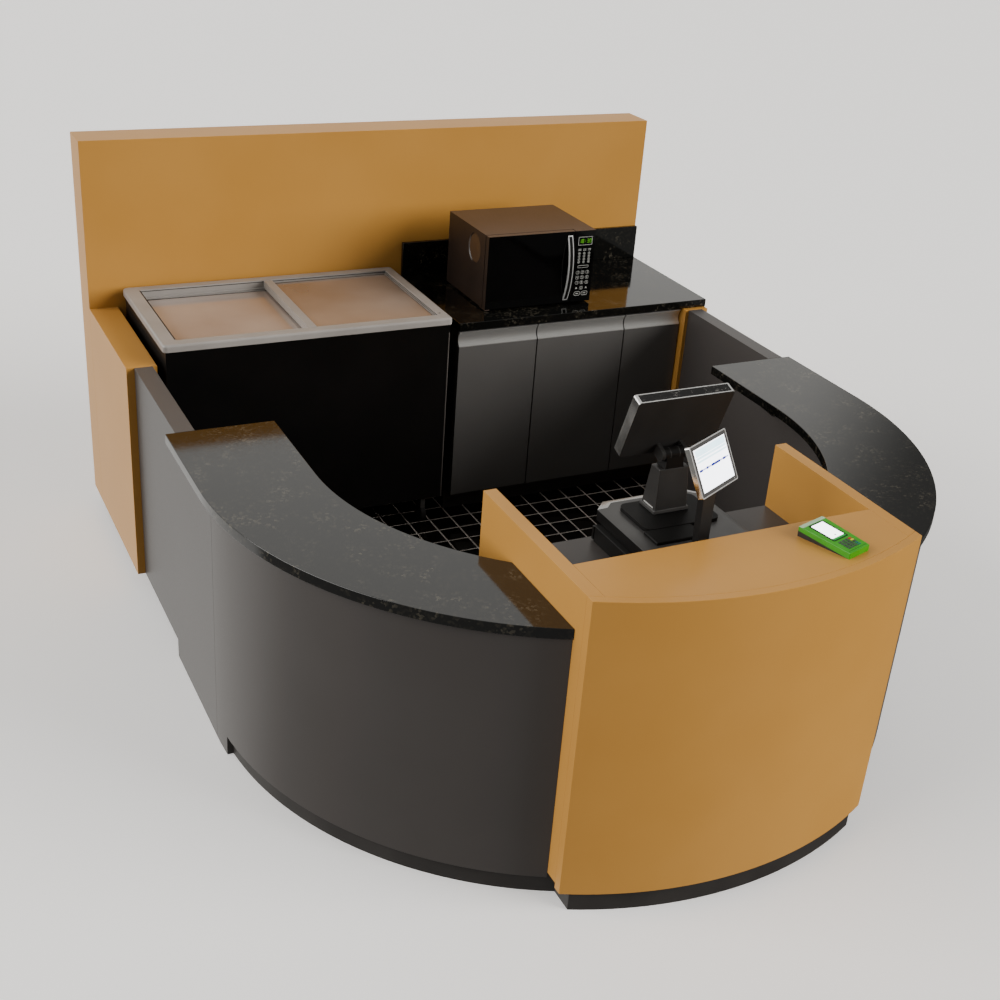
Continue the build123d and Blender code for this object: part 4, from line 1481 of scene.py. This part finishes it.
@dataclass
class CustomerDisplay:
    """Small tilted display on a post, with a chrome rim and a lit screen."""

    turn: float = math.radians(206)
    tilt: float = math.radians(26)
    width: float = 0.218
    height: float = 0.170
    thick: float = 0.018
    off: float = 0.024
    side: float = 0.060
    bezel: float = 0.016
    rim: float = 0.004
    tints: tuple[tuple[float, float], ...] = ((0.40, 0.04), (0.56, 0.05), (0.80, 0.16))
    dashes: tuple[tuple[float, float], ...] = (
        (0.86, 0.18),
        (0.45, 0.12),
        (-0.1, 0.56),
        (-0.66, 0.18),
    )

    @property
    def spot(self) -> Matrix:
        """Place and turn of the hinge: X along it, Y to the screen's front, Z up the screen."""
        stand = Matrix.Translation(hinge("customer_display_tilt"))
        return stand @ Matrix.Rotation(self.turn, 4, "Z") @ Matrix.Rotation(self.tilt, 4, "X")

    @property
    def front(self) -> Matrix:
        """Place and turn of the middle of the screen's front."""
        return self.spot @ Matrix.Translation((self.side, self.off + self.thick, 0))

    def build(self) -> None:
        """Make the post and the display."""
        self.post()
        self.case()
        self.picture()

    def post(self) -> None:
        """Make the post, its customers' side lighter as painted light."""

        def part(face: bmesh.types.BMFace) -> int:
            """Customers' side 1, painted light; the rest 0."""
            return 1 if face.normal.y < -0.8 else 0

        shape = Shape().solid("display_post", choose=part)
        finishes = [BLACK_ABS, NECK_ABS_AND_POST_LIGHT]
        post = ["display_post"]
        shape.piece("display_post_eased", Body.KIOSK, finishes, Slot.TILL_METAL, post, 0.002)

    def case(self) -> None:
        """Make the chrome rim, the grey bezel and the back."""
        turn = self.spot.to_3x3().inverted()

        def part(face: bmesh.types.BMFace) -> int:
            """Mirror chrome round the sides 3, black elsewhere 0."""
            local = self.spot.inverted() @ face.calc_center_median()
            return 3 if local.y > self.off - CLOSE and abs((turn @ face.normal).y) < 0.5 else 0

        w, h = self.width / 2, self.height / 2
        shape = Shape(self.front).solid("customer_display", choose=part)
        shape.box((-w, -SINK, -h), (w, 0.0006, h), 0.006, Axis.Y, 1, border=self.rim)
        w, h = w - self.rim + SINK, h - self.rim + SINK
        shape.box((-w, -SINK, -h), (w, 0.0003, h), 0.004, Axis.Y, 2)
        node = ["customer_display"]
        finishes = [BLACK_ABS, SATIN_CHROME, FIRED_GREY, CHROME]
        shape.piece(
            "customer_display_case", Body.CUSTOMER_SCREEN, finishes, Slot.TILL, node, 0.0006
        )

    def picture(self) -> None:
        """Make the lit screen: white, tinted above, with a dashed line across and a small lamp."""
        w, h = self.width / 2 - self.bezel, self.height / 2 - self.bezel
        shape = Shape(self.front)
        shape.box((-w, 0, -h), (w, 0.0008, h))
        for z, height in self.tints:
            low, high = (z - height) * h, (z + height) * h
            shape.box((-w * 0.96, 0, low), (w * 0.96, 0.0011, high), finish=1)
        shape.box((-w * 0.94, 0, -0.0022), (w * 0.94, 0.0012, 0.0022), finish=3)
        for x, length in self.dashes:
            low, high = (x - length / 2) * w, (x + length / 2) * w
            shape.box((low, 0, -0.0038), (high, 0.0014, 0.0038), finish=2)
        lamp = self.width / 2 - 0.020
        shape.box((-lamp - 0.0025, 0, -h - 0.008), (-lamp + 0.0025, 0.0006, -h - 0.006), finish=4)
        finishes = [DISPLAY_WHITE, DISPLAY_TINT, DISPLAY_BLUE, DISPLAY_LILAC, PRINT_INK]
        shape.piece("customer_display_screen", Body.CUSTOMER_SCREEN, finishes, Slot.SCREEN)


@dataclass
class CardReader:
    """Green card reader on the ledge, with a lit screen and small keys."""

    turn: float = math.radians(16)
    place: Triple = (0.299, -1.555)
    length: float = 0.195
    head_w: float = 0.124
    tail_w: float = 0.104
    head: float = 0.034
    tail: float = 0.021
    level: float = 0.022
    ridge: float = 0.015
    wedge: float = 0.0195
    corner: float = 0.004
    pitch_x: float = 0.0168
    pitch_y: float = 0.0092
    first_row: float = -0.0385
    key: Triple = (0.0128, 0.0064, 0.0018)
    surround: tuple[Triple, Triple] = ((-0.0375, -0.025, -SINK), (0.0375, 0.0785, 0.0006))
    groove: tuple[Triple, Triple] = ((-0.045, -0.0885, -SINK), (0.045, -0.0873, 0.0002))
    screen: tuple[Triple, Triple] = ((-0.0305, -0.012, 0), (0.0305, 0.073, 0.0010))
    footer: tuple[Triple, Triple] = ((-0.0315, -0.021, 0), (0.0315, -0.012, 0.0011))
    button: tuple[Triple, Triple] = ((-0.003, -0.003, 0), (0.003, 0.002, 0.0013))

    @property
    def spot(self) -> Matrix:
        """Place and turn of the reader: Y to its head, Z up."""
        at = Vector((*self.place, Extent.of("card_reader").low.z))
        return Matrix.Translation(at) @ Matrix.Rotation(self.turn, 4, "Z")

    @property
    def lie(self) -> Matrix:
        """Place and turn of its sloping top, level with the middle of its length."""
        run = self.length - self.level
        slope = math.atan2(self.head - self.tail, run)
        height = self.tail + (self.head - self.tail) * self.length / 2 / run
        return self.spot @ Matrix.Translation((0, 0, height)) @ Matrix.Rotation(slope, 4, "X")

    def build(self) -> None:
        """Make the shells, the screen and the keys."""
        self.shells()
        self.face()
        self.keys()

    def shells(self) -> None:
        """Shape a block and part it: green above, a dark wedge below and mint at the head."""
        side, half = self.head_w / 2, self.length / 2
        block = Shape.block((-side, -half, 0), (side, half, self.head))
        narrow = (self.tail_w / self.head_w, 1, 1)
        bmesh.ops.scale(block, vec=narrow, verts=[v for v in block.verts if v.co.y < 0])
        start = Vector((0, half - self.level, self.head))
        fall = Vector((0, -(self.head - self.tail), self.length - self.level)).normalized()
        Shape.part_along(block, start, fall, drop=True)
        sides = [e for e in block.edges if abs(e.verts[0].co.z - e.verts[1].co.z) > 0.01]
        Shape.round_edges(block, sides, self.corner)
        self.colour(block)

    def colour(self, block: bmesh.types.BMesh) -> None:
        """Part the block by its lines and finish it.

        Args:
            block: Block of the reader, lying along Y.
        """
        half = self.length / 2
        low, high = Vector((0, -half, 0)), Vector((0, half, self.wedge))
        across = (high - low).cross(Vector((-1, 0, 0))).normalized()
        mint = half - self.ridge
        Shape.part_along(block, low, across)
        Shape.part_along(block, (0, mint, 0), (0, 1, 0))
        block.normal_update()
        picks = []
        for face in block.faces:
            mid = face.calc_center_median()
            dark = (mid - low).dot(across) < -1e-5
            picks.append(1 if dark else 2 if face.normal.z > 0.9 and mid.y > mint else 0)
        shape = Shape(self.spot)
        shape.join(block, 0)
        for face, pick in zip(shape.mesh.faces, picks, strict=True):
            face.material_index = pick
        finishes = [GREEN_ABS, WEDGE_ABS, MINT_ABS]
        node = ["card_reader"]
        shape.piece("card_reader_shells", Body.KIOSK, finishes, Slot.READER, node, 0.0012)

    def face(self) -> None:
        """Lay the screen in its dark surround, and a groove across the tail."""
        surround = Shape(self.lie)
        surround.box(*self.surround, 0.004, Axis.Z).box(*self.groove)
        surround.piece("card_reader_surround", Body.KIOSK, [BLACK_ABS], Slot.READER)
        screen = Shape(self.lie)
        screen.box(*self.screen)
        screen.box(*self.footer, finish=1)
        screen.box(*self.button, finish=2)
        finishes = [DISPLAY_WHITE, DISPLAY_GREEN, TEAL_ABS]
        screen.piece("card_reader_screen", Body.KIOSK, finishes, Slot.SCREEN)

    def keys(self) -> None:
        """Set out the keys in four columns, some of them coloured."""
        keys = Shape(self.lie)
        tones = {(3, 0): 1, (3, 1): 2, (3, 3): 3, (3, 4): 3}
        w, d, h = self.key
        for column in range(4):
            for row in range(5):
                x, y = (column - 1.5) * self.pitch_x, self.first_row - row * self.pitch_y
                low, high = (x - w / 2, y - d / 2, -SINK), (x + w / 2, y + d / 2, h)
                keys.box(low, high, 0.0012, Axis.Z, tones.get((column, row), 0))
        finishes = [KEY_ABS, RED_ABS, YELLOW_ABS, TEAL_ABS]
        keys.piece("card_reader_keys", Body.KIOSK, finishes, Slot.READER, (), 0.0004)


@dataclass
class Studio:
    """Pale floor, soft light and the camera."""

    eye: Triple = (-2.47441, -4.51920, 3.25667)
    yaw: float = 0.48540
    pitch: float = -0.47307
    roll: float = 0.07666
    lens: float = 50.0
    lamps: tuple[tuple[Triple, float, float, str], ...] = (
        ((-0.90, 0.15, 0.37), 3.4, 50.0, "FFFDFA"),
        ((0.79, -0.61, 0.31), 4.9, 40.0, "FFFDFA"),
    )
    window: Triple = (-0.17, 0.98, 0.05)
    window_edge: tuple[float, float] = (0.535, 0.62)
    window_glow: float = 0.80
    ceiling_edge: tuple[float, float] = (0.3, 0.95)
    ceiling_glow: float = 0.14
    wall_edge: tuple[float, float] = (0.60, 0.74)
    wall_glow: tuple[float, float] = (0.24, 0.11)
    air: str = "FDFBF6"
    ground_size: float = 60.0
    ground_glow: float = 0.30

    def build(self) -> None:
        """Set the floor, the light and the camera."""
        self.ground()
        self.sky()
        for number, lamp in enumerate(self.lamps):
            self.lamp(number, *lamp)
        self.camera()

    def ground(self) -> None:
        """Lay the pale floor."""
        part = bmesh.new()
        bmesh.ops.create_grid(part, x_segments=1, y_segments=1, size=self.ground_size)
        data = bpy.data.meshes.new("studio_floor")
        part.to_mesh(data)
        part.free()
        floor = bpy.data.objects.new("studio_floor", data)
        bpy.context.scene.collection.objects.link(floor)
        paint = Coating("studio_floor_paint", "F4F2F0", "F3F1EF", (0.9, 0.95), 2000, 20, 0.0)
        data.materials.append(paint.material())
        shader = paint.material().node_tree.nodes["Principled BSDF"]
        shader.inputs["Emission Color"].default_value = linear("FFFFFF")
        shader.inputs["Emission Strength"].default_value = self.ground_glow
        floor.visible_diffuse = False
        floor.visible_glossy = False

    def sky(self) -> None:
        """Light everything softly, with a bright window behind on the left and a dim front."""
        world = bpy.data.worlds.new("studio")
        world.use_nodes = True
        tree = world.node_tree
        look = add_node(tree, "TexCoord").outputs["Generated"]
        toward = Vector(self.window).normalized()
        facing = add_node(tree, "VectorMath", {0: look, 1: toward}, operation="DOT_PRODUCT")
        split = add_node(tree, "SeparateXYZ", {0: look}).outputs
        parts = []
        for value, edge, glow in (
            (facing.outputs["Value"], self.window_edge, (0.0, self.window_glow)),
            (split[2], self.ceiling_edge, (0.0, self.ceiling_glow)),
            (split[0], self.wall_edge, self.wall_glow),
        ):
            names = ("Value", "From Min", "From Max", "To Min", "To Max")
            span = dict(zip(names, (value, *edge, *glow), strict=True))
            parts.append(add_node(tree, "MapRange", span, interpolation_type="SMOOTHSTEP"))
        window, ceiling, walls = (part.outputs[0] for part in parts)
        both = add_node(tree, "Math", {0: window, 1: ceiling}, operation="ADD").outputs[0]
        total = add_node(tree, "Math", {0: both, 1: walls}, operation="ADD").outputs[0]
        sky = tree.nodes["Background"]
        sky.inputs["Color"].default_value = linear(self.air)
        tree.links.new(total, sky.inputs["Strength"])
        bpy.context.scene.world = world

    def lamp(self, number: int, come: Triple, power: float, spread: float, tint: str) -> None:
        """Shine a broad, far lamp on everything.

        Args:
            number: Number of the lamp.
            come: Direction that it shines from.
            power: Its power on a square metre.
            spread: Width of the lamp in degrees.
            tint: Colour of its light.
        """
        light = bpy.data.lights.new(f"softbox_{number}", "SUN")
        light.angle = math.radians(spread)
        light.energy = power
        light.color = linear(tint)[:3]
        lamp = bpy.data.objects.new(light.name, light)
        lamp.visible_glossy = number == 0
        lamp.matrix_world = Vector(come).to_track_quat("Z", "Y").to_matrix().to_4x4()
        bpy.context.scene.collection.objects.link(lamp)

    def camera(self) -> None:
        """Stand the camera at its place."""
        data = bpy.data.cameras.new("camera")
        data.lens = self.lens
        data.clip_end = 200
        camera = bpy.data.objects.new("camera", data)
        bpy.context.scene.collection.objects.link(camera)
        ahead = Vector(
            (
                math.sin(self.yaw) * math.cos(self.pitch),
                math.cos(self.yaw) * math.cos(self.pitch),
                math.sin(self.pitch),
            )
        )
        level = Vector((math.cos(self.yaw), -math.sin(self.yaw), 0))
        upward = level.cross(ahead)
        right = math.cos(self.roll) * level + math.sin(self.roll) * upward
        upper = -math.sin(self.roll) * level + math.cos(self.roll) * upward
        turn = Matrix((right, upper, -ahead)).transposed().to_4x4()
        camera.matrix_world = Matrix.Translation(self.eye) @ turn
        bpy.context.scene.camera = camera


def main() -> None:
    """Build the kiosk piece by piece, then the studio."""
    logging.basicConfig(level=logging.INFO, format="%(name)s %(message)s")
    for assembly in (
        Shell(),
        TiledFloor(),
        StoneTops(),
        CashCounter(),
        Cabinet(),
        Freezer(),
        Microwave(),
        Till(),
        CustomerDisplay(),
        CardReader(),
        Studio(),
    ):
        assembly.build()
        log.info("%s built", type(assembly).__name__)


if __name__ == "__main__":
    main()
